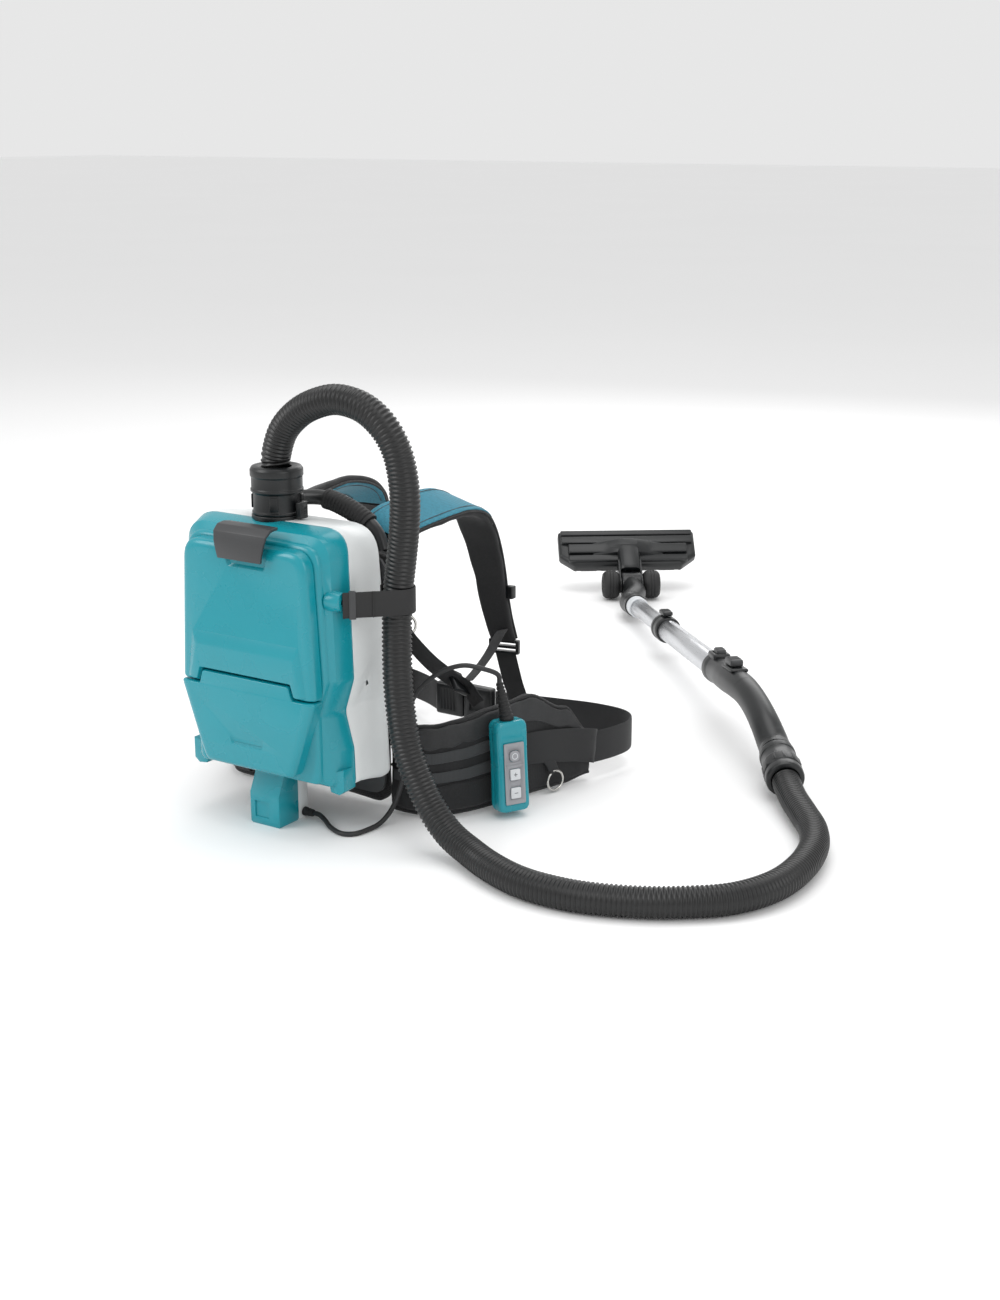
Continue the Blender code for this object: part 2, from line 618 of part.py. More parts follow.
def remote():
    half = REMOTE_SIZE / 2
    case = box("remote_case", -half, half, "teal_plastic", 0.005)
    case.matrix_world = remote_frame()
    pad = box("remote_keypad", (-0.0135, FACE_OUT - 0.0019, -0.046), (0.0135, FACE_OUT - GAP, 0.030),
              "grey_plastic")
    pad.matrix_world = remote_frame()
    for word, height in KEY_HEIGHTS.items():
        centre = remote_frame() @ Vector((0, FACE_OUT - 0.006, height))
        inward = remote_frame().to_3x3() @ Vector((0, 1, 0))
        cut(pad, cylinder_cutter(f"{word}_hole", centre, inward, 0.0074, 0.01))
        start = remote_frame() @ Vector((0, FACE_OUT - 0.0012, height))
        turned(word, [(0, 0.0018), (0.0066, 0.0018), (0.0070, 0.0012), (0.0070, 0), (0, 0)],
               "button_white", start, -inward, steps=20)
    clip = box("remote_clip", (-0.011, -FACE_OUT + 0.0004, -0.030), (0.011, -FACE_OUT + 0.0034, 0.034),
               "black_plastic", 0.001)
    clip.matrix_world = remote_frame()
    top = remote_frame() @ Vector((0, 0, half.z + GAP))
    tip = Vector((0.2175, 0.1385, 0.1690))
    turned("remote_strain_relief", [(0.0, (tip - top).length), (0.0042, (tip - top).length),
                                    (0.0080, 0.006), (0.0080, 0.0032), (0.0, 0.0032)],
           "black_plastic", top, tip - top, steps=16)
    outward = (tip - top).normalized()
    return [tip + outward * 0.012, tip + outward * GAP]


SLEEVE = Vector((0.1310, 0.0640, 0.0880))
GLAND_TIP = Vector((0.0363, 0.0040, 0.0085))
CORD_ROUTE = [
    GLAND_TIP + Vector((GAP, 0, 0)), GLAND_TIP + Vector((0.0080, 0, 0)), (0.056, 0.0005, 0.0050), (0.075, -0.0120, 0.0033),
    (0.097, -0.0200, 0.0033), (0.111, -0.0120, 0.0033), (0.116, 0.0080, 0.0033),
    (0.119, 0.0300, 0.0060), (0.124, 0.0480, 0.0220), (0.129, 0.0600, 0.0520),
    (0.131, 0.0640, 0.0850), (0.131, 0.0640, 0.1010), (0.131, 0.0640, 0.1170),
    (0.1340, 0.0660, 0.1380), (0.1450, 0.0740, 0.1650), (0.1650, 0.0880, 0.1860),
    (0.1880, 0.1030, 0.1950), (0.2060, 0.1190, 0.1900),
]


def control_cord(ending):
    turned("cord_gland", [(0.0, 0.0140), (0.0042, 0.0140), (0.0056, 0.0), (0.0, 0.0)],
           "black_plastic", (TAIL_HALF + GAP, 0.004, 0.0085), (1, 0, 0), steps=16)
    turned("cord_sleeve", [(0.0047, 0.026), (0.0047, 0), (0.0035, 0), (0.0035, 0.026)],
           "grey_plastic", SLEEVE, ring=True, steps=16)
    tube("control_cord", led_route(CORD_ROUTE + ending, 0.013), CORD_RADIUS, "rubber", 2)


# ---------------------------------------------------------------- hose
HOSE_ROUTE = [
    (-0.0050, 0.0050, 0.4306), (-0.0050, 0.0050, 0.4420), (0.0080, 0.0042, 0.4730),
    (0.0360, 0.0020, 0.4975), (0.0700, 0.0000, 0.5120), (0.0975, 0.0000, 0.5156),
    (0.1280, 0.0020, 0.5080), (0.1525, 0.0050, 0.4880), (0.1665, 0.0100, 0.4590),
    (0.1710, 0.0150, 0.4190), (0.1675, 0.0190, 0.3780), (0.1610, 0.0210, 0.3360),
    (0.1552, 0.0203, 0.2900), (0.1574, 0.0150, 0.2425), (0.1630, 0.0080, 0.1972),
    (0.1705, 0.0030, 0.1575), (0.1800, 0.0000, 0.1200), (0.1960, -0.0010, 0.0850),
    (0.2180, -0.0030, 0.0520), (0.2450, -0.0080, 0.0300), (0.2807, -0.0180, 0.0190),
    (0.3220, -0.0390, 0.0178), (0.3675, -0.0553, 0.0178), (0.4100, -0.0590, 0.0178),
    (0.4540, -0.0530, 0.0178), (0.5066, -0.0323, 0.0178), (0.5500, -0.0040, 0.0178),
    (0.5870, 0.0320, 0.0178), (0.6085, 0.0850, 0.0178), (0.6110, 0.1460, 0.0178),
    (0.5995, 0.2080, 0.0178), (0.5770, 0.2580, 0.0180), (0.5475, 0.2975, 0.0190),
    (0.5180, 0.3340, 0.0210),
]


def suction_hose():
    end = CUFF_START + CUFF_AXIS * (CUFF_LENGTH + GAP)
    near = end + CUFF_AXIS * 0.012
    tube("suction_hose", led_route(HOSE_ROUTE + [near, end], 0.036), HOSE_RADIUS, "hose_plastic", 4)


# ---------------------------------------------------------------- wand
def along_pipe(distance):
    return PIPE_START + PIPE_AXIS * distance


PIPE_ABOVE = (Vector((0, 0, 1)) - PIPE_AXIS * PIPE_AXIS.z).normalized()


def on_pipe(distance, above):
    """A frame on the pipe: Z along the pipe, X up out of it."""
    return aimed(PIPE_AXIS, along_pipe(distance) + PIPE_ABOVE * above, PIPE_ABOVE)


GRIP_ROUTE = [PIPE_START - PIPE_AXIS * GAP, PIPE_START - PIPE_AXIS * 0.036, (0.3030, 0.5877, 0.0765),
              (0.3330, 0.5545, 0.0805), (0.3610, 0.5260, 0.0800), (0.3891, 0.4965, 0.0730),
              (0.4163, 0.4670, 0.0610), CUFF_START - CUFF_AXIS * 0.0220, CUFF_START - CUFF_AXIS * 0.0006]


def pipe_ring(name, start, length, outer, wall, look, steps=22):
    inner = outer - wall
    return turned(name, [(outer, length), (outer, 0), (inner, 0), (inner, length)], look,
                  along_pipe(start), PIPE_AXIS, steps, ring=True)


def wand():
    route = led_route(GRIP_ROUTE, 0.026)
    count = len(route)
    halves = []
    for index in range(count):
        swell = math.sin(math.pi * index / (count - 1))
        halves.append((0.0205 - 0.0006 * swell, 0.0208 - 0.0004 * swell))
    sweep("bent_handle", route, halves, "black_plastic", bore=0.0177, sides=16)
    slider = box("air_slider", (-0.0050, -0.0080, -0.0150), (0.0050, 0.0080, 0.0150), "dark_plastic", 0.002)
    slider.matrix_world = aimed((0.3330 - 0.3019, 0.5545 - 0.5877, 0.004), (0.3190, 0.5697, 0.1060),
                                (0, 0, 1))
    button = box("pipe_release_button", (-0.0040, -0.0070, -0.0100), (0.0040, 0.0070, 0.0100),
                 "dark_plastic", 0.0015)
    button.matrix_world = on_pipe(-0.020, 0.0265)
    pipe_ring("outer_pipe", -0.030, COLLAR_AT + 0.030 - GAP, OUTER_PIPE_RADIUS, PIPE_WALL, "silver_pipe")
    turned("pipe_collar", [(0.0190, 0.036), (0.0210, 0.033), (0.0210, 0.003), (0.0190, 0), (0.0144, 0),
                           (0.0144, 0.036)], "black_plastic", along_pipe(COLLAR_AT), PIPE_AXIS, 22,
           ring=True)
    lock = box("collar_button", (-0.0030, -0.0075, -0.0150), (0.0030, 0.0075, 0.0150), "black_plastic",
               0.0015)
    lock.matrix_world = on_pipe(COLLAR_AT + 0.018, 0.0258)
    pipe_ring("inner_pipe", 0.150, PIPE_LENGTH - 0.150 - 0.022, INNER_PIPE_RADIUS, PIPE_WALL, "silver_pipe")
    turned("pipe_ferrule", [(0.0165, 0.0215), (0.0172, 0.020), (0.0172, 0.002), (0.0160, 0),
                            (0.0128, 0), (0.0128, 0.0215)], "white_plastic",
           along_pipe(PIPE_LENGTH - 0.0217), PIPE_AXIS, 22, ring=True)


def hose_end_cuff():
    turned("hose_end_cuff", [(0.0215, CUFF_LENGTH), (0.0243, CUFF_LENGTH - 0.004), (0.0243, 0.030),
                             (0.0225, 0.020), (0.0225, 0.002), (0.0210, 0.0), (0.0173, 0.0),
                             (0.0173, 0.040), (0.0150, 0.046), (0.0150, CUFF_LENGTH)],
           "black_plastic", CUFF_START, CUFF_AXIS, 22, ring=True)


# ---------------------------------------------------------------- floor head
def head_frame():
    """X along the axle, Y towards the head's front edge, Z out of its top; pitched up."""
    level = Vector((0, 0, 1)).cross(AXLE_DIRECTION)
    forward = level * math.cos(HEAD_PITCH) + Vector((0, 0, 1)) * math.sin(HEAD_PITCH)
    top = AXLE_DIRECTION.cross(forward)
    made = Matrix((AXLE_DIRECTION, forward, top)).transposed().to_4x4()
    made.translation = AXLE
    return made


def flat_outline(corners, z):
    return [(point.x, point.y, z) for point in rounded(corners)]


HEAD_REAR = 0.045


def head_corners(margin):
    """The head's plan: full width at the front edge, with chamfered rear corners."""
    half, front = HEAD_WIDTH / 2 - margin, HEAD_REAR + HEAD_DEPTH - margin
    rear = HEAD_REAR + margin
    return [(half, rear + 0.020, 0.006), (half, front, 0.006), (-half, front, 0.006),
            (-half, rear + 0.020, 0.006), (-half + 0.026, rear, 0.006), (half - 0.026, rear, 0.006)]


def floor_head():
    frame = head_frame()
    head = loft("nozzle_head", [flat_outline(head_corners(0.0), -0.0200),
                                flat_outline(head_corners(0.0), -0.0040),
                                flat_outline(head_corners(0.008), 0.0040)], "black_plastic")
    hollow = loft("head_hollow", [flat_outline(head_corners(0.003), -0.0300),
                                  flat_outline(head_corners(0.003), -0.0055),
                                  flat_outline(head_corners(0.011), 0.0010)], None)
    duct = loft("head_duct", [
        [(x, y, z) for x, z in ((0.0180, -0.015), (0.0180, rise), (0.012, rise + 0.006),
                                (-0.012, rise + 0.006), (-0.0180, rise), (-0.0180, -0.015))]
        for y, rise in ((0.0240, 0.012), (0.054, 0.012), (0.098, -0.004))], None)
    bore = loft("duct_hollow", [
        [(x, y, z) for x, z in ((0.0150, -0.018), (0.0150, rise - 0.002), (0.010, rise + 0.003),
                                (-0.010, rise + 0.003), (-0.0150, rise - 0.002), (-0.0150, -0.018))]
        for y, rise in ((0.0270, 0.012), (0.054, 0.012), (0.090, -0.002))], None)
    ears = [box(f"axle_ear_{side}", (min(side * 0.0172, side * 0.0208), -0.0110, -0.0130),
                (max(side * 0.0172, side * 0.0208), 0.0400, 0.0130), None) for side in (-1, 1)]
    for tool in (hollow, duct, bore, *ears):
        tool.matrix_world = frame
    head.matrix_world = frame
    cut(head, hollow)
    join(head, duct, *ears)
    cut(head, bore)

    sole = loft("nozzle_sole", [flat_outline(head_corners(0.003), -0.0260),
                                flat_outline(head_corners(0.001), -0.0203)], "dark_plastic")
    slot = box("sole_slot", (-0.100, 0.068, -0.04), (0.100, 0.094, 0.0), None)
    for piece in (sole, slot):
        piece.matrix_world = frame
    cut(sole, slot)

    for side, word in ((-1, "left"), (1, "right")):
        turned(f"wheel_{word}", [(0.0, 0.0145), (0.0170, 0.0145), (0.0235, 0.0090), (WHEEL_RADIUS, 0.0),
                                 (0.0235, -0.0090), (0.0170, -0.0145), (0.0, -0.0145)],
               "rubber", AXLE + AXLE_DIRECTION * side * 0.0358, AXLE_DIRECTION, 24)


def neck():
    start = along_pipe(PIPE_LENGTH + GAP)
    level = Vector((0, 0, 1)).cross(AXLE_DIRECTION)
    route = led_route([start, start + PIPE_AXIS * 0.012, start + PIPE_AXIS * 0.045, AXLE - level * 0.070 + Vector((0, 0, 0.001)),
                          AXLE - level * 0.030, AXLE - level * 0.006], 0.022)
    last = len(route) - 1
    halves = [(0.0185 - 0.0022 * index / last, 0.0185) for index in range(last + 1)]
    made = sweep("neck_elbow", route, halves, "black_plastic")
    barrel = cylinder_cutter("neck_barrel", AXLE - AXLE_DIRECTION * 0.0168, AXLE_DIRECTION, 0.0215, 0.0336)
    join(made, barrel)


front_housing()
rear_housing()
dust_cover()
cover_latch()
unit_internals()
inlet()
hose_clamp()
carry_handle()
harness_back()
shoulder_straps()
belt_wing(1, "right")
belt_wing(-1, "left")
waist_strap()
control_cord(remote())
suction_hose()
wand()
hose_end_cuff()
floor_head()
neck()
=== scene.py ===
import json
import math

import bmesh
import bpy
from mathutils import Matrix, Vector, noise


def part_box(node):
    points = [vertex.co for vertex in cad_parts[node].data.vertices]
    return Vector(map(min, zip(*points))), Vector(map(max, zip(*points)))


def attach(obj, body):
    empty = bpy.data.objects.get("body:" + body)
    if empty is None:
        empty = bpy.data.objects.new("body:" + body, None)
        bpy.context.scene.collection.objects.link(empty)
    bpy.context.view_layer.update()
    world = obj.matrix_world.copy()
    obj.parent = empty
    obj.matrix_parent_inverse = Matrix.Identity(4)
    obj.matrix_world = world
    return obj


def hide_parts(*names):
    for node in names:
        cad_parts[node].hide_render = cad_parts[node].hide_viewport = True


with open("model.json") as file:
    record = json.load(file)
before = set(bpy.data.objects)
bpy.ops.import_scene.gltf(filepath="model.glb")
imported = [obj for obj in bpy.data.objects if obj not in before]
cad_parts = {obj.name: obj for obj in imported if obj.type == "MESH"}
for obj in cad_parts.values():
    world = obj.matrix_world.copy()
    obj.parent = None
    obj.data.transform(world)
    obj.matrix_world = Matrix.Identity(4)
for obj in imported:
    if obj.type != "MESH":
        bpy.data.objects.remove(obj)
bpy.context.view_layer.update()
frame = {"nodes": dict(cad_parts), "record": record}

UP = Vector((0, 0, 1))
RECORD = frame["record"]


# ================================================================ mesh helpers
def put(name, data):
    made = bpy.data.objects.new(name, data)
    bpy.context.scene.collection.objects.link(made)
    return made


def from_bmesh(name, shape, look=None, sharp=40):
    bmesh.ops.recalc_face_normals(shape, faces=shape.faces)
    data = bpy.data.meshes.new(name)
    shape.to_mesh(data)
    shape.free()
    data.shade_smooth()
    data.set_sharp_from_angle(angle=math.radians(sharp))
    made = put(name, data)
    if look:
        data.materials.append(look)
    return made


def loft(name, rings, look=None, cyclic=False, sharp=40, lengths=None):
    """Skins loops of equal length. lengths gives a UV map in metres: round, then along."""
    shape = bmesh.new()
    loops = [[shape.verts.new(point) for point in ring] for ring in rings]
    count = len(loops[0])
    around = [0.0]
    for index in range(count):
        step = Vector(rings[0][index]) - Vector(rings[0][(index + 1) % count])
        around.append(around[-1] + step.length)
    layer = shape.loops.layers.uv.new("UVMap") if lengths else None
    following = list(range(1, len(loops))) + ([0] if cyclic else [])
    for first, second in zip(range(len(loops)), following):
        for index in range(count):
            after = (index + 1) % count
            face = shape.faces.new((loops[first][index], loops[first][after],
                                    loops[second][after], loops[second][index]))
            if layer:
                marks = ((around[index], lengths[first]), (around[index + 1], lengths[first]),
                         (around[index + 1], lengths[second]), (around[index], lengths[second]))
                for corner, mark in zip(face.loops, marks):
                    corner[layer].uv = mark
    if not cyclic:
        shape.faces.new(loops[0])
        shape.faces.new(loops[-1])
    return from_bmesh(name, shape, look, sharp)


def rounded(corners, steps=8):
    """A closed outline through (u, v, radius) corners, each one eased by a short curve."""
    points = []
    for index, (u, v, radius) in enumerate(corners):
        corner = Vector((u, v))
        before = (Vector(corners[index - 1][:2]) - corner).normalized()
        after = (Vector(corners[(index + 1) % len(corners)][:2]) - corner).normalized()
        reach = radius / math.tan(before.angle(after) / 2)
        start, end = corner + before * reach, corner + after * reach
        for step in range(steps + 1):
            part = step / steps
            points.append(start * (1 - part) ** 2 + corner * 2 * part * (1 - part)
                          + end * part ** 2)
    return points


def both_sides(half):
    return half + [(-u, v, radius) for u, v, radius in reversed(half)]


def facing(half, y, steps=8):
    """A mirrored outline in the XZ plane at y."""
    return [(point.x, y, point.y) for point in rounded(both_sides(half), steps)]


def between(first, second, share):
    """Corner lists mixed corner by corner."""
    return [tuple(a * (1 - share) + b * share for a, b in zip(one, two))
            for one, two in zip(first, second)]


def inset(half, wall):
    last = len(half) - 1
    lift = {0: -wall, last: wall}
    return [(u - wall, v + lift.get(index, 0.0), max(radius - wall, 0.002))
            for index, (u, v, radius) in enumerate(half)]


def eased(first, second, start_y, end_y, count=5):
    """Sections that turn from one outline to the next round a quarter of an oval."""
    made = []
    for step in range(count + 1):
        angle = math.pi / 2 * step / count
        y = start_y + (end_y - start_y) * math.sin(angle)
        made.append(facing(between(first, second, 1 - math.cos(angle)), y))
    return made


def box(name, low, high, look=None, bevel=0.0, segments=3):
    low, high = Vector(low), Vector(high)
    shape = bmesh.new()
    bmesh.ops.create_cube(shape, size=1.0)
    bmesh.ops.scale(shape, vec=high - low, verts=shape.verts)
    bmesh.ops.translate(shape, vec=(low + high) / 2, verts=shape.verts)
    if bevel:
        bmesh.ops.bevel(shape, geom=shape.edges[:], offset=bevel, segments=segments, profile=0.5,
                        affect="EDGES")
    return from_bmesh(name, shape, look)


def aimed(axis, origin, side=None):
    """A matrix whose Z runs along axis, and whose X lies near side."""
    z = Vector(axis).normalized()
    near = Vector(side) if side else Vector((0, 0, 1)) if abs(z.z) < 0.9 else Vector((1, 0, 0))
    y = z.cross(near).normalized()
    made = Matrix((y.cross(z), y, z)).transposed().to_4x4()
    made.translation = Vector(origin)
    return made


def turned(name, profile, look, origin, axis=UP, steps=48, ring=False, sharp=35, round_by=0.0006):
    """A turned piece from (radius, height) points, with its corners rounded."""
    points = [Vector(point) for point in profile]
    outline = []
    count = len(points)
    for index, point in enumerate(points):
        inner = ring or 0 < index < count - 1
        before, after = points[index - 1], points[(index + 1) % count]
        room = min((before - point).length, (after - point).length) if inner else 0
        cut_back = min(round_by, room * 0.4)
        if cut_back > 0.00005:
            start = point + (before - point).normalized() * cut_back
            end = point + (after - point).normalized() * cut_back
            outline += [start, (start + end) / 4 + point / 2, end]
        else:
            outline.append(point)
    place = aimed(axis, origin)
    shape = bmesh.new()
    loops = []
    for radius, height in outline:
        if radius < 1e-6:
            loops.append([shape.verts.new(place @ Vector((0, 0, height)))])
            continue
        loops.append([shape.verts.new(place @ Vector((radius * math.cos(math.tau * k / steps),
                                                      radius * math.sin(math.tau * k / steps),
                                                      height)))
                      for k in range(steps)])
    for first, second in zip(loops, loops[1:] + (loops[:1] if ring else [])):
        for k in range(steps):
            after = (k + 1) % steps
            corners = [first[k % len(first)], first[after % len(first)],
                       second[after % len(second)], second[k % len(second)]]
            unique = list(dict.fromkeys(corners))
            if len(unique) > 2:
                shape.faces.new(unique)
    return from_bmesh(name, shape, look, sharp)


def smooth_route(points, spacing):
    """Evenly spaced points on a smooth curve through the route's own points."""
    route = [Vector(point) for point in points]
    ends = [route[0] * 2 - route[1]] + route + [route[-1] * 2 - route[-2]]
    fine = []
    for index in range(1, len(ends) - 2):
        before, start, end, after = ends[index - 1:index + 3]
        for step in range(32):
            t = step / 32
            fine.append(0.5 * (start * 2 + (end - before) * t
                               + (before * 2 - start * 5 + end * 4 - after) * t ** 2
                               + (start * 3 - before - end * 3 + after) * t ** 3))
    fine.append(route[-1])
    total = sum((b - a).length for a, b in zip(fine, fine[1:]))
    pieces = max(2, round(total / spacing))
    made, walked, target = [fine[0]], 0.0, total / pieces
    for start, end in zip(fine, fine[1:]):
        length = (end - start).length
        while walked + length >= target - 1e-9 and len(made) < pieces:
            made.append(start.lerp(end, (target - walked) / length))
            target += total / pieces
        walked += length
    made.append(fine[-1])
    return made


def carried_frames(points):
    """(centre, across, above) along a path, carried without twist."""
    made, across = [], None
    for index, point in enumerate(points):
        ahead = (points[min(index + 1, len(points) - 1)] - points[max(index - 1, 0)]).normalized()
        if across is None:
            across = ahead.cross(UP if abs(ahead.z) < 0.9 else Vector((0, 1, 0)))
        across = (across - ahead * across.dot(ahead)).normalized()
        made.append((point, across, across.cross(ahead).normalized()))
    return made


def sweep(name, points, sizes, look, sides=32, bore=None, sharp=40):
    """An oval body along points; sizes are (half width, half height)."""
    outer, inner = [], []
    for (point, across, above), (wide, high) in zip(carried_frames(points), sizes):
        turn = [math.tau * side / sides for side in range(sides)]
        outer.append([point + across * wide * math.cos(a) + above * high * math.sin(a)
                      for a in turn])
        if bore:
            inner.append([point + (across * math.cos(a) + above * math.sin(a)) * bore
                          for a in turn])
    if bore:
        return loft(name, outer + inner[::-1], look, cyclic=True, sharp=sharp)
    return loft(name, outer, look, sharp=sharp)


def wire(name, points, radius, look, resolution=4, cyclic=False):
    """A round wire as a curve."""
    data = bpy.data.curves.new(name, "CURVE")
    data.dimensions = "3D"
    data.bevel_depth = radius
    data.bevel_resolution = resolution
    data.use_fill_caps = True
    spline = data.splines.new("POLY")
    spline.points.add(len(points) - 1)
    for slot, point in zip(spline.points, points):
        slot.co = (*point, 1.0)
    spline.use_cyclic_u = cyclic
    spline.use_smooth = True
    data.materials.append(look)
    return put(name, data)


def baked(made, tools=(), operation="DIFFERENCE"):
    """Applies Booleans with the tools, which are then removed."""
    for tool in tools:
        step = made.modifiers.new(tool.name, "BOOLEAN")
        step.operation = operation
        step.object = tool
        step.solver = "EXACT"
    shown = made.evaluated_get(bpy.context.evaluated_depsgraph_get())
    data = bpy.data.meshes.new_from_object(shown)
    made.modifiers.clear()
    made.data = data
    for tool in tools:
        bpy.data.objects.remove(tool)
    return made


def softened(made, width, segments=2, angle=30):
    """Rounds the sharp edges of a finished shape."""
    edge = made.modifiers.new("edges", "BEVEL")
    edge.width = width
    edge.segments = segments
    edge.limit_method = "ANGLE"
    edge.angle_limit = math.radians(angle)
    edge.use_clamp_overlap = True
    edge.harden_normals = False
    baked(made)
    made.data.shade_smooth()
    made.data.set_sharp_from_angle(angle=math.radians(50))
    return made


def row(count, low, high, step):
    """Equal blocks, each one step on from the last."""
    return [box("rib", Vector(low) + Vector(step) * k, Vector(high) + Vector(step) * k)
            for k in range(count)]


def round_row(count, low, high, bevel, place, turn=0.0):
    """Equal blocks set round a turned piece."""
    made = []
    for index in range(count):
        rib = box("rib", low, high, None, bevel)
        rib.data.transform(place @ Matrix.Rotation(math.tau * (index + turn) / count, 4, "Z"))
        made.append(rib)
    return made


def block(name, low, high, look, bevel, tools=(), operation="UNION", place=None):
    """A rounded block, joined to its ribs or cut by its wells, and put in place."""
    made = box(name, low, high, look, bevel)
    if tools:
        baked(made, tools, operation)
    if place:
        made.matrix_world = place
    return made


def ruffled(made, height, size, seed=0.0, keep=None):
    """Moves vertices along their normals by smooth noise, for cloth over foam."""
    for vertex in made.data.vertices:
        share = keep(vertex.co) if keep else 1.0
        bump = noise.noise(vertex.co / size + Vector((seed, seed, seed)))
        vertex.co += vertex.normal * bump * height * share
    return made


def show(made, body="root", nodes=()):
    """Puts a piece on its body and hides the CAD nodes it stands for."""
    if nodes:
        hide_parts(*nodes)
    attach(made, body)
    return made


# ================================================================ materials
class Nodes:
    """Builds one material's nodes."""

    def __init__(self, name, colour, roughness, metallic=0.0):
        self.made = bpy.data.materials.new(name)
        self.made.use_nodes = True
        self.tree = self.made.node_tree
        self.shader = self.tree.nodes["Principled BSDF"]
        self.put("Base Color", (*colour, 1.0))
        self.put("Roughness", roughness)
        self.put("Metallic", metallic)
        self.made.diffuse_color = (*colour, 1.0)

    def put(self, socket, value):
        self.shader.inputs[socket].default_value = value

    def add(self, kind, **values):
        node = self.tree.nodes.new(kind)
        for key, value in values.items():
            if key in node.inputs:
                node.inputs[key].default_value = value
            else:
                setattr(node, key.lower(), value)
        return node

    def link(self, start, end):
        self.tree.links.new(start, end)

    def place(self, scale=(1, 1, 1), kind="Object"):
        """Coordinates in metres, scaled."""
        coordinate = self.add("ShaderNodeTexCoord")
        mapping = self.add("ShaderNodeMapping")
        mapping.inputs["Scale"].default_value = scale
        self.link(coordinate.outputs[kind], mapping.inputs["Vector"])
        return mapping.outputs["Vector"]

    def noise(self, scale, detail=3.0, where=None):
        node = self.add("ShaderNodeTexNoise")
        node.inputs["Scale"].default_value = scale
        node.inputs["Detail"].default_value = detail
        self.link(where or self.place(), node.inputs["Vector"])
        return node.outputs["Fac"]

    def spread(self, factor, low, high):
        node = self.add("ShaderNodeMapRange")
        node.inputs["To Min"].default_value = low
        node.inputs["To Max"].default_value = high
        self.link(factor, node.inputs["Value"])
        return node.outputs["Result"]

    def mix(self, factor, first, second):
        node = self.add("ShaderNodeMix", data_type="RGBA")
        node.inputs[6].default_value = (*first, 1.0)
        node.inputs[7].default_value = (*second, 1.0)
        self.link(factor, node.inputs[0])
        return node.outputs[2]

    def math(self, operation, first, second):
        node = self.add("ShaderNodeMath", operation=operation)
        for socket, value in zip(node.inputs, (first, second)):
            if isinstance(value, (int, float)):
                socket.default_value = value
            else:
                self.link(value, socket)
        return node.outputs[0]

    def bump(self, height, strength, distance):
        node = self.add("ShaderNodeBump")
        node.inputs["Strength"].default_value = strength
        node.inputs["Distance"].default_value = distance
        self.link(height, node.inputs["Height"])
        self.link(node.outputs["Normal"], self.shader.inputs["Normal"])

    def wave(self, where, scale, direction="X", profile="SIN"):
        node = self.add("ShaderNodeTexWave", bands_direction=direction, wave_profile=profile)
        node.inputs["Scale"].default_value = scale
        self.link(where, node.inputs["Vector"])
        return node.outputs["Fac"]


def plastic(name, colour, roughness, grain=900.0, depth=0.00004, strength=0.25, coat=0.0):
    """Moulded plastic: spark-eroded grain, faint blotches in gloss and colour."""
    build = Nodes(name, colour, roughness)
    blotch = build.noise(14.0, 4.0)
    build.link(build.spread(blotch, max(0.05, roughness - 0.06), roughness + 0.07),
               build.shader.inputs["Roughness"])
    darker = tuple(channel * 0.90 for channel in colour)
    lighter = tuple(min(1.0, channel * 1.06) for channel in colour)
    build.link(build.mix(blotch, darker, lighter), build.shader.inputs["Base Color"])
    build.bump(build.noise(grain, 2.0), strength, depth)
    if coat:
        build.put("Coat Weight", coat)
        build.put("Coat Roughness", 0.12)
    return build.made


def woven(name, colour, pitch, roughness=0.9, depth=0.00025, fleck_and_highlight=1.5, kind="Object", sheen=0.12):
    """Plain weave: two crossed sets of threads, with random flecks and soft creases; the colour is
    painted darker in the gaps between threads (painted shade) and lighter on their crests (painted
    highlight).
    """
    build = Nodes(name, colour, roughness)
    where = build.place(kind=kind)
    wave_scale = 1.0 / pitch / 3.2
    warp = build.wave(where, wave_scale, "X")
    weft = build.wave(where, wave_scale, "Y" if kind == "UV" else "Z")
    cloth = build.math("MAXIMUM", warp, weft)
    crease = build.noise(26.0, 5.0, where)
    height = build.math("ADD", cloth, build.math("MULTIPLY", crease, 2.5))
    # painted shade and painted highlight: the colour follows the weave height, darker in the gaps
    # between threads and lighter on their crests; the fine noise adds random flecks
    dark = tuple(channel * 0.62 for channel in colour)
    painted_highlight_tone = tuple(min(1.0, channel * fleck_and_highlight) for channel in colour)
    shade = build.math("MULTIPLY", cloth, build.noise(420.0, 2.0, where))
    build.link(build.mix(build.spread(shade, 0.0, 1.6), dark, painted_highlight_tone),
               build.shader.inputs["Base Color"])
    build.bump(height, 0.5, depth)
    build.put("Sheen Weight", sheen)
    build.put("Sheen Roughness", 0.45)
    return build.made


def webbing(name, colour):
    """Ribbed tape: fine ribs across, and a herringbone of threads along it; the colour is painted
    lighter where the ribs and threads stand high (painted highlight).
    """
    build = Nodes(name, colour, 0.8)
    where = build.place(kind="UV")
    rib = build.wave(where, 210.0, "Y")
    thread = build.wave(where, 330.0, "DIAGONAL")
    cloth = build.math("ADD", rib, build.math("MULTIPLY", thread, 0.6))
    # painted highlight: the colour is lighter on the raised ribs and threads
    painted_highlight_tone = tuple(channel * 2.0 for channel in colour)
    build.link(build.mix(build.math("MULTIPLY", cloth, 0.55), colour, painted_highlight_tone),
               build.shader.inputs["Base Color"])
    build.bump(cloth, 0.55, 0.0003)
    build.put("Sheen Weight", 0.12)
    return build.made


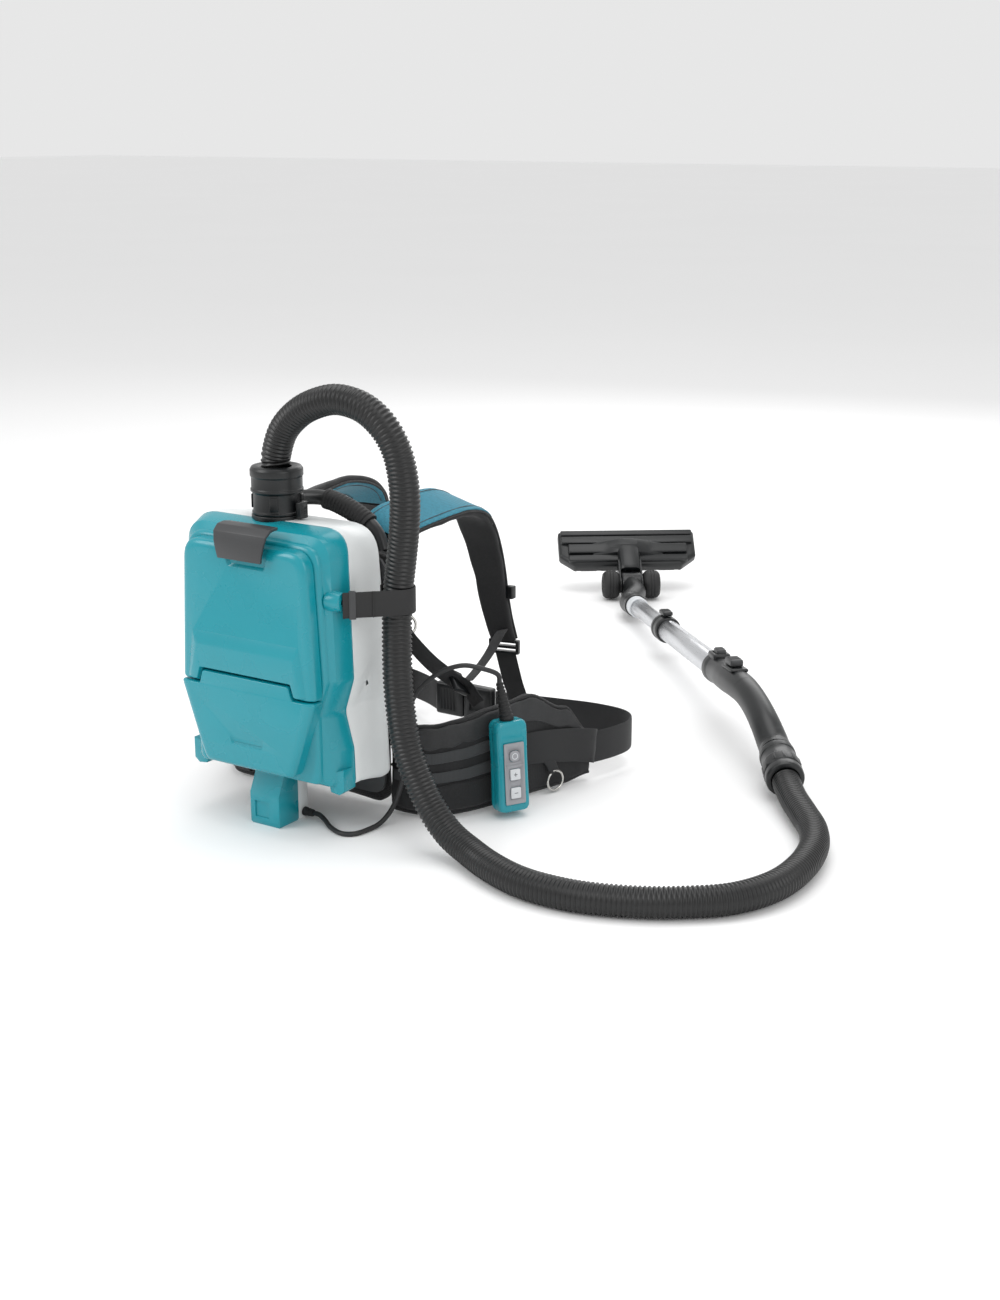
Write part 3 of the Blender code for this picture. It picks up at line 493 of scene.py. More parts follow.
def brushed(name, colour, roughness, along):
    """Metal drawn along one direction."""
    build = Nodes(name, colour, roughness, 1.0)
    coordinate = build.add("ShaderNodeTexCoord")
    turn = build.add("ShaderNodeMapping")
    facing_along = Vector(along).to_track_quat("X", "Z").inverted()
    turn.inputs["Rotation"].default_value = facing_along.to_euler()
    build.link(coordinate.outputs["Object"], turn.inputs["Vector"])
    stretch = build.add("ShaderNodeMapping")
    stretch.inputs["Scale"].default_value = (1.0, 60.0, 60.0)
    build.link(turn.outputs["Vector"], stretch.inputs["Vector"])
    streak = build.noise(30.0, 6.0, stretch.outputs["Vector"])
    build.link(build.spread(streak, roughness - 0.08, roughness + 0.14),
               build.shader.inputs["Roughness"])
    darker = tuple(channel * 0.82 for channel in colour)
    build.link(build.mix(streak, darker, colour), build.shader.inputs["Base Color"])
    build.bump(streak, 0.12, 0.00003)
    build.put("Anisotropic", 0.4)
    return build.made


PIPE_START = Vector((0.2564, 0.6424, 0.0700))
PIPE_AXIS = Vector((-0.666, 0.742, -0.079)).normalized()

LOOK = {
    "teal": plastic("teal_shell", (0.003, 0.260, 0.320), 0.27, 500.0, 0.00002, 0.10, coat=0.15),
    "white": plastic("white_shell", (0.72, 0.745, 0.745), 0.36, 700.0, 0.00003, 0.15),
    "latch": plastic("latch_grey", (0.036, 0.037, 0.039), 0.42),
    "black": plastic("black_moulding", (0.0045, 0.0055, 0.0062), 0.36),
    "hose": plastic("hose_moulding", (0.0050, 0.0052, 0.0054), 0.38, 400.0, 0.00003, 0.2),
    "rubber": plastic("matt_rubber", (0.0085, 0.0085, 0.0090), 0.62, 500.0, 0.00006, 0.35),
    "cord": plastic("cord_jacket", (0.016, 0.016, 0.017), 0.48, 500.0, 0.00003, 0.2),
    "teal_cloth": woven("teal_nylon", (0.018, 0.135, 0.190), 0.0011, 0.82, fleck_and_highlight=1.9),
    "cloth": woven("black_nylon", (0.0060, 0.0062, 0.0068), 0.0010, 0.85, fleck_and_highlight=2.2),
    "mesh_cloth": woven("black_spacer_mesh", (0.0060, 0.0062, 0.0068), 0.0030, 0.95, 0.0008, 2.4),
    "smooth_cloth": woven("black_taffeta", (0.0150, 0.0155, 0.0165), 0.0006, 0.62, 0.0001, 1.4),
    "webbing": webbing("black_webbing", (0.0075, 0.0078, 0.0085)),
    "grey_webbing": webbing("grey_webbing", (0.0240, 0.0255, 0.0270)),
    "pipe": brushed("anodised_pipe", (0.66, 0.67, 0.69), 0.27, PIPE_AXIS),
    "steel": brushed("bright_steel", (0.62, 0.61, 0.58), 0.20, (0, 0, 1)),
    "ferrule": plastic("silver_ferrule", (0.60, 0.62, 0.64), 0.30, 600.0, 0.00002, 0.1),
    "label": plastic("label_grey", (0.30, 0.305, 0.325), 0.45, 1500.0, 0.00002, 0.2),
    "key": plastic("key_white", (0.62, 0.64, 0.66), 0.50, 1200.0, 0.00003, 0.2),
    "icon": plastic("icon_grey", (0.10, 0.105, 0.115), 0.55, 1200.0, 0.00003, 0.2),
    "paper": woven("bag_paper", (0.60, 0.52, 0.39), 0.0022, 0.95, 0.0003, 1.1),
    "media": woven("filter_media", (0.78, 0.77, 0.72), 0.0040, 0.95, 0.001, 1.05),
    "circuit": plastic("circuit_board", (0.012, 0.11, 0.05), 0.40, 160.0, 0.0004, 0.4),
    "bristle": woven("bristle_strip", (0.020, 0.020, 0.021), 0.0012, 0.95, 0.0006, 2.0),
    "thread": woven("stitching", (0.050, 0.052, 0.055), 0.0008, 0.9, 0.0001, 1.6),
}
SLOT_LOOK = {
    "teal_plastic": "teal", "white_plastic": "white", "dark_plastic": "latch",
    "black_plastic": "black",
    "hose_plastic": "hose", "rubber": "rubber", "black_fabric": "cloth", "webbing": "webbing",
    "silver_pipe": "pipe", "steel": "steel", "paper": "paper", "filter_media": "media",
    "circuit_green": "circuit", "grey_plastic": "label", "button_white": "key",
}
for entry in RECORD["subparts"]:
    node = frame["nodes"][entry["node"]]
    node.data.materials.clear()
    node.data.materials.append(LOOK[SLOT_LOOK[entry["material_slot"]]])


# ================================================================ camera, floor and lights
CAMERA_AT = (1.3744, -1.6418, 0.8190)
CAMERA_TURN, CAMERA_DROP = math.radians(33), math.radians(16)
CAMERA_AHEAD = Vector((-math.sin(CAMERA_TURN) * math.cos(CAMERA_DROP),
                       math.cos(CAMERA_TURN) * math.cos(CAMERA_DROP), -math.sin(CAMERA_DROP)))
SENSOR_MM, LENS_MM = 36, 51.4
WORLD_STRENGTH = 0.80
LIGHT_TARGET = Vector((0.1, 0.2, 0.15))
LIGHTS = (  # name, place, width and height, watts
    ("key_left", (-1.6, -1.9, 2.1), (1.6, 1.6), 34),
    ("fill_right", (2.4, -0.8, 1.5), (1.4, 1.8), 15),
    ("top", (0.2, 0.6, 3.0), (2.2, 2.2), 34),
    ("back", (-0.6, 3.0, 1.6), (2.0, 1.2), 18),
)


def stage():
    camera = put("camera", bpy.data.cameras.new("camera"))
    camera.location = CAMERA_AT
    camera.rotation_euler = CAMERA_AHEAD.to_track_quat("-Z", "Y").to_euler()
    camera.data.sensor_width = SENSOR_MM
    camera.data.lens = LENS_MM
    camera.data.clip_end = 200
    bpy.context.scene.camera = camera

    shape = bmesh.new()
    bmesh.ops.create_grid(shape, x_segments=8, y_segments=8, size=30)
    build = Nodes("studio_floor", (0.93, 0.93, 0.93), 0.75)
    build.link(build.mix(build.noise(0.8, 2.0), (0.92, 0.92, 0.92), (0.94, 0.94, 0.94)),
               build.shader.inputs["Base Color"])
    from_bmesh("studio_floor", shape, build.made)

    world = bpy.data.worlds.new("studio")
    bpy.context.scene.world = world
    world.use_nodes = True
    background = world.node_tree.nodes["Background"].inputs
    background["Color"].default_value = (1.0, 1.0, 1.0, 1.0)
    background["Strength"].default_value = WORLD_STRENGTH
    bpy.context.scene.view_settings.view_transform = "Standard"

    for name, where, size, power in LIGHTS:
        data = bpy.data.lights.new(name, "AREA")
        data.shape = "RECTANGLE"
        data.size, data.size_y = size
        data.energy = power
        made = put(name, data)
        made.location = where
        towards = LIGHT_TARGET - Vector(where)
        made.rotation_euler = towards.to_track_quat("-Z", "Y").to_euler()


# ================================================================ hose and cord
CUFF_START = Vector((0.4520, 0.4260, 0.0395))
CUFF_AXIS = Vector((0.565, -0.805, -0.180)).normalized()
CUFF_LENGTH = 0.066
HOSE_EXIT = (-0.0050, 0.0050, 0.4306)
HOSE_ROUTE = [
    HOSE_EXIT, (-0.0050, 0.0050, 0.4420), (0.0080, 0.0042, 0.4730),
    (0.0360, 0.0020, 0.4975), (0.0700, 0.0000, 0.5120), (0.0975, 0.0000, 0.5156),
    (0.1280, 0.0020, 0.5080), (0.1525, 0.0050, 0.4880), (0.1665, 0.0100, 0.4590),
    (0.1710, 0.0150, 0.4190), (0.1675, 0.0190, 0.3780), (0.1610, 0.0210, 0.3360),
    (0.1552, 0.0203, 0.2900), (0.1574, 0.0150, 0.2425), (0.1630, 0.0080, 0.1972),
    (0.1705, 0.0030, 0.1575), (0.1800, 0.0000, 0.1200), (0.1960, -0.0010, 0.0850),
    (0.2180, -0.0030, 0.0520), (0.2450, -0.0080, 0.0300), (0.2807, -0.0180, 0.0190),
    (0.3220, -0.0390, 0.0178), (0.3675, -0.0553, 0.0178), (0.4100, -0.0590, 0.0178),
    (0.4540, -0.0530, 0.0178), (0.5066, -0.0323, 0.0178), (0.5500, -0.0040, 0.0178),
    (0.5870, 0.0320, 0.0178), (0.6085, 0.0850, 0.0178), (0.6110, 0.1460, 0.0178),
    (0.5995, 0.2080, 0.0178), (0.5770, 0.2580, 0.0180), (0.5475, 0.2975, 0.0190),
    (0.5180, 0.3340, 0.0210),
]
RIB_PITCH = 0.0052
RIB = ((0.0, 0.0160), (0.18, 0.0174), (0.5, 0.0176), (0.68, 0.0160))


def suction_hose():
    end = CUFF_START + CUFF_AXIS * (CUFF_LENGTH - 0.001)
    path = smooth_route(HOSE_ROUTE + [end + CUFF_AXIS * 0.013, end], RIB_PITCH)
    frames = carried_frames(path)
    sides, rings = 28, []
    for (point, across, above), (after, *_) in zip(frames, frames[1:]):
        for share, radius in RIB:
            centre = point.lerp(after, share)
            rings.append([centre + (across * math.cos(math.tau * k / sides)
                                    + above * math.sin(math.tau * k / sides)) * radius
                          for k in range(sides)])
    made = loft("ribbed_hose", rings, LOOK["hose"], sharp=70)
    show(made, "root", ["suction_hose"])


CORD_RADIUS = 0.003
CORD_EXIT = (0.0366, 0.0040, 0.0085)
CORD_ROUTE = [
    CORD_EXIT, (0.0443, 0.0040, 0.0085), (0.056, 0.0005, 0.0050), (0.075, -0.0120, 0.0033),
    (0.097, -0.0200, 0.0033), (0.111, -0.0120, 0.0033), (0.116, 0.0080, 0.0033),
    (0.119, 0.0300, 0.0060), (0.124, 0.0480, 0.0220), (0.129, 0.0600, 0.0520),
    (0.131, 0.0640, 0.0850), (0.131, 0.0640, 0.1010), (0.131, 0.0640, 0.1170),
    (0.1340, 0.0660, 0.1380), (0.1450, 0.0740, 0.1650), (0.1650, 0.0880, 0.1860),
    (0.1880, 0.1030, 0.1950), (0.2060, 0.1190, 0.1900),
]
RELIEF_TIP = Vector((0.2175, 0.1385, 0.1690))


def control_cord(relief_base):
    outward = (RELIEF_TIP - relief_base).normalized()
    route = CORD_ROUTE + [RELIEF_TIP + outward * 0.012, RELIEF_TIP - outward * 0.001]
    path = smooth_route(route, 0.004)
    made = wire("control_cord_jacket", path, CORD_RADIUS, LOOK["cord"], 5)
    show(made, "root", ["control_cord"])


# ================================================================ power unit
WALL = 0.003
SEAM_Y = -0.0135
FRONT_Y = -0.0530
COVER_Y = -0.0690
REAR_Y = 0.0550
SEAM = [(0.1115, 0.371, 0.030), (0.1165, 0.196, 0.020), (0.1030, 0.155, 0.020),
        (0.1145, 0.112, 0.020), (0.1160, 0.066, 0.008)]
FACET = [(0.1050, 0.365, 0.030), (0.1110, 0.196, 0.020), (0.0970, 0.155, 0.020),
         (0.1020, 0.112, 0.020), (0.1030, 0.068, 0.008)]
FACE = [(0.0920, 0.350, 0.026), (0.1020, 0.196, 0.020), (0.0890, 0.155, 0.020),
        (0.0860, 0.112, 0.020), (0.0840, 0.074, 0.008)]
BACK = [(0.1060, 0.366, 0.040), (0.1160, 0.235, 0.040), (0.1165, 0.160, 0.030),
        (0.1180, 0.112, 0.020), (0.1200, 0.060, 0.010)]
SHIELD = [(0.0650, 0.1925, 0.003), (0.0700, 0.1765, 0.003), (0.1010, 0.1765, 0.004),
          (0.0740, 0.100, 0.020), (0.0660, 0.080, 0.010)]
SHIELD_FACE = [(0.0640, 0.1912, 0.003), (0.0688, 0.1752, 0.003), (0.0880, 0.1750, 0.004),
               (0.0650, 0.103, 0.020), (0.0590, 0.0870, 0.010)]
COVER = [(0.0920, 0.3515, 0.026), (0.1015, 0.1776, 0.004), (0.0712, 0.1776, 0.003),
         (0.0662, 0.1937, 0.003)]
COVER_EDGE = [(0.0905, 0.3500, 0.025), (0.1000, 0.1782, 0.004), (0.0716, 0.1782, 0.003),
              (0.0666, 0.1941, 0.003)]
COVER_FACE = [(0.0800, 0.3400, 0.020), (0.0880, 0.1795, 0.004), (0.0725, 0.1795, 0.003),
              (0.0676, 0.1950, 0.003)]
INLET = Vector((-0.005, 0.005, 0.0))


def bays(outer, front):
    return [box(f"bay_{side}", (min(side * 0.030, side * outer), front, 0.040),
                (max(side * 0.030, side * outer), 0.046, 0.118)) for side in (-1, 1)]


def bore(name, origin, axis, radius, length):
    return turned(name, [(0, length), (radius, length), (radius, 0), (0, 0)], None, origin, axis,
                  round_by=0.0)


def inlet_bore():
    return bore("inlet", INLET + Vector((0, 0, 0.33)), UP, 0.0262, 0.08)


FACET_Y = -0.040
SHIELD_Y = COVER_Y - 0.0030
BOSS_AXIS = (1, 0.05, 0)
LUG = [(0.0900, 0.082), (0.1150, 0.090), (0.1150, 0.0640), (0.1080, 0.0585), (0.0960, 0.0600)]
DENT = [(0.0270, 0.1220, 0.005), (0.0230, 0.1080, 0.004)]


def front_shell():
    made = loft("front_shell", [facing(SEAM, SEAM_Y - 0.0004), facing(SEAM, SEAM_Y - 0.004),
                                facing(FACET, FACET_Y)]
                + eased(between(FACET, FACE, 0.55), FACE, -0.046, FRONT_Y, 4),
                LOOK["teal"], sharp=24)
    hollow = loft("hollow", [facing(inset(SEAM, WALL), -0.005), facing(inset(SEAM, WALL), SEAM_Y),
                             facing(inset(FACET, WALL), FACET_Y + 0.0005),
                             facing(inset(FACE, WALL), FRONT_Y + WALL)])
    mouth = loft("mouth", [facing([(0.084, 0.339, 0.020), (0.094, 0.202, 0.010)], y)
                           for y in (-0.060, -0.045)])
    baked(made, [hollow, mouth, *bays(0.0900, -0.0340)])
    shield = loft("shield", [facing(SHIELD, FRONT_Y + 0.002), facing(SHIELD, COVER_Y + 0.004)]
                  + eased(SHIELD, SHIELD_FACE, COVER_Y + 0.003, SHIELD_Y, 5))
    rear = SEAM_Y + 0.0065
    tail = loft("tail", [[(half, front, z), (half, rear, z), (-half, rear, z), (-half, front, z)]
                         for half, front, z in ((0.0205, -0.0420, 0.0), (0.0220, -0.0435, 0.003),
                                                (0.0220, -0.0435, 0.040), (0.0220, -0.0330, 0.062),
                                                (0.0220, -0.0330, 0.080))])
    boss = turned("boss", [(0, 0.0190), (0.0105, 0.0180), (0.0130, 0.0), (0, 0)], None,
                  (0.1020, -0.0370, 0.293), BOSS_AXIS)
    lugs = [loft("lug", [[(side * x, y, z) for x, z in LUG] for y in (-0.0360, SEAM_Y - 0.0006)])
            for side in (1, -1)]
    baked(made, [shield, tail, boss, *lugs], "UNION")
    eye = bore("eye", (0.1080, -0.0370, 0.293), BOSS_AXIS, 0.0042, 0.03)
    dent = loft("dent", [facing(DENT, COVER_Y - 0.010), facing(DENT, SHIELD_Y),
                         facing([(0.0235, 0.1165, 0.004), (0.0210, 0.1095, 0.003)],
                                COVER_Y - 0.0006)])
    notch = box("notch", (-0.0150, -0.060, 0.010), (0.0060, -0.0415, 0.030))
    baked(made, [inlet_bore(), eye, dent, notch])
    softened(made, 0.0009)
    show(made, "root", ["front_housing"])


def rear_shell():
    made = loft("rear_shell", [facing(SEAM, SEAM_Y + 0.0004), facing(SEAM, 0.000),
                               facing(between(SEAM, BACK, 0.35), 0.016),
                               facing(BACK, 0.036)]
                + eased(BACK, inset(BACK, 0.009), 0.044, REAR_Y, 5), LOOK["white"], sharp=28)
    hollow = loft("hollow", [facing(inset(SEAM, WALL), -0.020), facing(inset(SEAM, WALL), 0.006),
                             facing(inset(BACK, WALL + 0.001), 0.040),
                             facing(inset(BACK, 0.012), REAR_Y - WALL)])
    baked(made, [hollow, *bays(0.1040, -0.0440)])
    tail = box("tail", (-0.0215, SEAM_Y + 0.0072, 0.0), (0.0215, 0.0120, 0.080))
    baked(made, [tail], "UNION")
    step = box("step", (-0.03, SEAM_Y - 0.004, -0.01), (0.03, SEAM_Y + 0.0069, 0.0630))
    baked(made, [inlet_bore(), step])
    softened(made, 0.0008)
    show(made, "root", ["rear_housing"])


def cover():
    made = loft("cover_shell", [facing(COVER, FRONT_Y - 0.0010),
                                facing(COVER_EDGE, COVER_Y + 0.0080)]
                + eased(COVER_EDGE, COVER_FACE, COVER_Y + 0.0070, COVER_Y, 7),
                LOOK["teal"], sharp=30)
    inside = [(0.088, 0.3465, 0.022), (0.0965, 0.2010, 0.010)]
    hollow = loft("hollow", [facing(inside, FRONT_Y + 0.011), facing(inside, COVER_Y + 0.0080),
                             facing([(0.079, 0.3380, 0.018), (0.0860, 0.2030, 0.008)],
                                    COVER_Y + 0.0046)])
    baked(made, [hollow])
    low_face = [(0.0800, 0.2400, 0.004), (0.0890, 0.1795, 0.004), (0.0725, 0.1795, 0.003),
                (0.0676, 0.1950, 0.003)]
    raised = [(0.0720, 0.2240, 0.006), (0.0830, 0.1810, 0.004), (0.0735, 0.1810, 0.003),
              (0.0686, 0.1965, 0.003)]
    step = loft("step", [facing(low_face, COVER_Y + 0.002), facing(low_face, COVER_Y - 0.0001),
                         facing(between(low_face, raised, 0.85), COVER_Y - 0.0026),
                         facing(raised, COVER_Y - 0.0031)])
    baked(made, [step], "UNION")
    rings = []
    for y, narrow, deep in ((COVER_Y - 0.010, 0.0060, 0.0290), (COVER_Y - 0.0005, 0.0060, 0.0290),
                            (COVER_Y + 0.0032, 0.0090, 0.0250)):
        corners = [(0.0400, 0.352, 0.003), (0.0400 - narrow, 0.352 - deep, 0.004),
                   (-0.0280 + narrow, 0.352 - deep, 0.004), (-0.0280, 0.352, 0.003)]
        rings.append([(point.x, y, point.y) for point in rounded(corners, 4)])
    baked(made, [loft("pocket", rings)])
    softened(made, 0.0007)
    show(made, "dust_cover", ["dust_cover"])


LATCH_THICKNESS = 0.0042
# y, z, left and right of each section down the tab
LATCH = [(-0.0525, 0.3690, -0.0300, 0.0420), (-0.0600, 0.3700, -0.0320, 0.0440),
         (-0.0680, 0.3690, -0.0330, 0.0450), (-0.0735, 0.3640, -0.0330, 0.0440),
         (-0.0758, 0.3540, -0.0310, 0.0415), (-0.0762, 0.3440, -0.0285, 0.0390),
         (-0.0755, 0.3350, -0.0265, 0.0370)]


def latch():
    """A lift-up tab that wraps the cover's top edge; wide at the top."""
    rings = []
    for index, (y, z, left, right) in enumerate(LATCH):
        before, after = LATCH[max(index - 1, 0)], LATCH[min(index + 1, len(LATCH) - 1)]
        run = Vector((0, after[0] - before[0], after[1] - before[1])).normalized()
        out = run.cross(Vector((1, 0, 0))) * -1
        edges = ((left, LATCH_THICKNESS), (left, 0.0010), (left + 0.0012, 0.0),
                 (right - 0.0012, 0.0), (right, 0.0010), (right, LATCH_THICKNESS))
        rings.append([Vector((x, y, z)) - out * depth for x, depth in edges])
    made = loft("latch_tab", rings, LOOK["latch"], sharp=50)
    ridges = row(3, (-0.012, -0.0775, 0.3480), (0.022, -0.0740, 0.3495), (0, 0, -0.0034))
    baked(made, ridges, "UNION")
    softened(made, 0.0006)
    show(made, "cover_latch", ["cover_latch"])


def inlet():
    foot = INLET + Vector((0, 0, 0.3758))
    cuff = turned("cuff_body", [
        (0.0240, 0.0560), (0.0290, 0.0550), (0.0312, 0.0515), (0.0312, 0.0440), (0.0300, 0.0430),
        (0.0300, 0.0300), (0.0310, 0.0290), (0.0310, 0.0262), (0.0284, 0.0240), (0.0284, 0.0034),
        (0.0298, 0.0026), (0.0298, 0.0), (0.0215, 0.0), (0.0215, 0.0300), (0.0178, 0.0400),
        (0.0178, 0.0545)], LOOK["black"], foot, ring=True, steps=72)
    ribs = round_row(4, (0.0280, -0.0050, 0.0060), (0.0300, 0.0050, 0.0220), 0.0006,
                     Matrix.Translation(foot), 0.35)
    baked(cuff, ribs, "UNION")
    softened(cuff, 0.0004)
    show(cuff, "hose_cuff", ["hose_cuff"])
    socket = turned("socket_ring", [
        (0.0285, 0.0305), (0.0305, 0.0295), (0.0305, 0.0235), (0.0285, 0.0225), (0.0258, 0.0225),
        (0.0258, 0.0), (0.0225, 0.0), (0.0225, 0.0305)], LOOK["black"],
        INLET + Vector((0, 0, 0.3450)), ring=True, steps=72)
    show(socket, "root", ["inlet_socket"])
    low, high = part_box("cuff_release_tab")
    ribs = row(3, (high.x - 0.0008, low.y + 0.002, low.z + 0.0060),
               (high.x + 0.0007, high.y - 0.002, low.z + 0.0074), (0, 0, 0.0034))
    tab = block("release_tab", low, high, LOOK["black"], 0.0014, ribs)
    show(tab, "cuff_release_tab", ["cuff_release_tab"])


CLAMPED_HOSE = Vector((0.1552, 0.0203, 0.290))
CLAMP_PLAN = ((0.1228, -0.0402, 0.290), (0.1300, -0.0325, 0.290), (0.1450, -0.0170, 0.290),
              (0.1600, -0.0030, 0.290))
CLAMP_SECTION = ((0.0009, -0.0140), (0.0009, 0.0140), (0.0004, 0.0150), (-0.0004, 0.0150),
                 (-0.0009, 0.0140), (-0.0009, -0.0140), (-0.0004, -0.0150), (0.0004, -0.0150))


def hose_clamp():
    """A rubber strap from the boss round the hose, with a buckle plate and a snap."""
    plan = [Vector(point) for point in CLAMP_PLAN]
    for step in range(41):
        angle = math.radians(311 + 245 * step / 40)
        plan.append(CLAMPED_HOSE + Vector((math.cos(angle), math.sin(angle), 0)) * 0.0202)
    rings, lengths = [], []
    for index, point in enumerate(plan):
        ahead = plan[min(index + 1, len(plan) - 1)] - plan[max(index - 1, 0)]
        across = ahead.cross(UP).normalized()
        rings.append([point + across * u + UP * v for u, v in CLAMP_SECTION])
        lengths.append(index * 0.003)
    made = loft("clamp_strap", rings, LOOK["rubber"], lengths=lengths)
    show(made, "root", ["hose_clamp_strap"])
    for name, low, high, look, bevel, at, slot in (
            ("clamp_plate", (-0.0035, -0.0022, -0.0165), (0.0045, 0.0026, 0.0165), "latch", 0.0010,
             (0.1300, -0.0325, 0.290), "dark_plastic"),
            ("clamp_rib", (-0.0008, -0.0018, -0.0152), (0.0008, 0.0018, 0.0152), "rubber", 0.0005,
             (0.1470, -0.0155, 0.290), "rubber")):
        place = Matrix.Translation(at) @ Matrix.Rotation(math.atan2(0.0155, 0.0150), 4, "Z")
        show(block(name, low, high, LOOK[look], bevel, place=place), "root", ())


HANDLE_ROUTE = [(-0.100, 0.069, 0.3305), (-0.094, 0.069, 0.346), (-0.075, 0.069, 0.362),
                (-0.050, 0.069, 0.3735), (-0.022, 0.069, 0.3805), (0.015, 0.069, 0.3835),
                (0.048, 0.069, 0.3755), (0.074, 0.069, 0.3635), (0.091, 0.069, 0.349),
                (0.099, 0.069, 0.3305)]


def carry_handle():
    path = smooth_route(HANDLE_ROUTE, 0.003)
    made = sweep("handle_tube", path, [(0.0092, 0.0092)] * len(path), LOOK["black"], 24)
    show(made, "root", ["carry_handle"])
    covered = [point for point in path if 0.018 < point.x < 0.080]
    fine = smooth_route(covered[::4] + [covered[-1]], 0.0012)
    sizes = []
    for index in range(len(fine)):
        rib = 0.0124 if index % 4 in (1, 2) else 0.0112
        rib = 0.0126 if index < 4 or index > len(fine) - 5 else rib
        sizes.append((rib, rib))
    grip = sweep("grip_sleeve", fine, sizes, LOOK["rubber"], 24, bore=0.0096, sharp=60)
    show(grip, "root", ["handle_grip"])


# ================================================================ harness
SPACING = 0.004  # between sections of straps, tapes and pads


def section_share(point, marks, index):
    run = marks[index + 1] - marks[index]
    return min(1.0, max(0.0, (point - marks[index]).dot(run) / run.length_squared))


def section_distance(point, marks, index):
    return (point - marks[index].lerp(marks[index + 1], section_share(point, marks, index))).length


def strap_frames(stations, spacing):
    """(centre, width, across, above) along a flat strap."""
    marks = [Vector(point) for point, _, _ in stations]
    route = smooth_route(marks, spacing)
    made = []
    for index, point in enumerate(route):
        ahead = route[min(index + 1, len(route) - 1)] - route[max(index - 1, 0)]
        nearest = min(range(len(marks) - 1), key=lambda k: section_distance(point, marks, k))
        share = section_share(point, marks, nearest)
        width = stations[nearest][1] * (1 - share) + stations[nearest + 1][1] * share
        side = Vector(stations[nearest][2]).lerp(Vector(stations[nearest + 1][2]), share)
        above = side.cross(ahead).normalized()
        made.append((point, width, ahead.cross(above).normalized(), above))
    return made


def oblong(half, thin, count=24, power=0.30):
    """A flat section with full rounded edges."""
    made = []
    for k in range(count):
        angle = math.tau * k / count
        u = math.copysign(abs(math.cos(angle)) ** power, math.cos(angle)) * half
        v = math.copysign(abs(math.sin(angle)) ** 0.75, math.sin(angle)) * thin
        made.append((u, v))
    return made


def strap(name, stations, thickness, look, spacing=SPACING, lift=0.0, wider=0.0, first=0,
          last=None):
    """A strap with rounded edges, and a UV map in metres."""
    frames = strap_frames(stations, spacing)[first:last]
    rings, lengths = [], []
    for index, (point, width, across, above) in enumerate(frames):
        taper = min(1.0, 0.55 + 0.45 * min(index, len(frames) - 1 - index) / 3)
        section = oblong((width + wider) / 2, thickness / 2 * taper)
        rings.append([point + across * u + above * (v + lift)
                      for u, v in section])
        lengths.append(index * spacing)
    return loft(name, rings, look, lengths=lengths, sharp=60)


def edge_line(stations, off, lift, first=0, last=None):
    """Points along a strap at a share of its width from the middle."""
    return [point + across * width / 2 * off + above * lift
            for point, width, across, above in strap_frames(stations, SPACING)[first:last]]


SHOULDER_SIDE = (0.93, 0.0, -0.37)
STRAP_STATIONS = [
    ((0.083, 0.0890, 0.3420), 0.056, SHOULDER_SIDE),
    ((0.085, 0.0975, 0.3500), 0.058, SHOULDER_SIDE),
    ((0.0875, 0.115, 0.3550), 0.060, SHOULDER_SIDE), ((0.092, 0.150, 0.3600), 0.060, SHOULDER_SIDE),
    ((0.0960, 0.190, 0.3630), 0.060, SHOULDER_SIDE),
    ((0.0970, 0.222, 0.3590), 0.060, (0.95, 0, -0.3)),
    ((0.0980, 0.248, 0.3470), 0.058, (0.97, 0, -0.22)),
    ((0.0990, 0.266, 0.3250), 0.052, (1, 0.05, -0.1)),
    ((0.1010, 0.280, 0.2940), 0.046, (1, 0.12, 0)), ((0.1040, 0.288, 0.2620), 0.042, (1, 0.15, 0)),
    ((0.1060, 0.293, 0.2340), 0.039, (1, 0.18, 0)), ((0.1090, 0.300, 0.2000), 0.036, (1, 0.20, 0)),
    ((0.1130, 0.309, 0.1660), 0.034, (1, 0.22, 0)),
]
WEBBING_STATIONS = [
    ((0.1140, 0.3118, 0.1500), 0.028, (1, 0.22, 0)),
    ((0.1190, 0.3210, 0.1100), 0.028, (1, 0.22, 0)),
    ((0.1245, 0.3310, 0.0700), 0.028, (1, 0.2, 0)), ((0.1255, 0.3180, 0.0320), 0.028, (1, 0.1, 0)),
    ((0.1220, 0.2700, 0.0170), 0.028, (1, 0, 0)), ((0.1140, 0.1900, 0.0190), 0.028, (1, 0, 0)),
    ((0.0980, 0.1270, 0.0330), 0.028, (1, 0, 0)), ((0.0850, 0.1060, 0.0520), 0.028, (1, 0, 0)),
]


def reached(stations, side, reach):
    start = 0.0905
    return [(Vector((x * side, start + (y - start) * (reach if y > start else 1.0), z)), width,
             (u, v * side, w * side)) for (x, y, z), width, (u, v, w) in stations]


LEFT_REACH = 1.28
COVERED_STEPS = 47  # how far the teal cover runs down a strap, in its 4 mm steps
SLIDER_STEP = 74


def ladder_lock(word, side):
    low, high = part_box(f"ladder_lock_{word}")
    bars = row(3, (-0.0185, -0.0040, -0.0093), (0.0185, 0.0040, -0.0057), (0, 0, 0.0075))
    made = box(f"ladder_frame_{word}", (-0.0205, -0.0035, -0.0090), (-0.0165, 0.0035, 0.0090),
               LOOK["black"])
    other = box("other", (0.0165, -0.0035, -0.0090), (0.0205, 0.0035, 0.0090))
    baked(made, [*bars, other], "UNION")
    softened(made, 0.0007)
    made.matrix_world = (Matrix.Translation((low + high) / 2)
                         @ Matrix.Rotation(math.atan2(0.22, 1) * side, 4, "Z"))
    show(made, "root", [f"ladder_lock_{word}"])


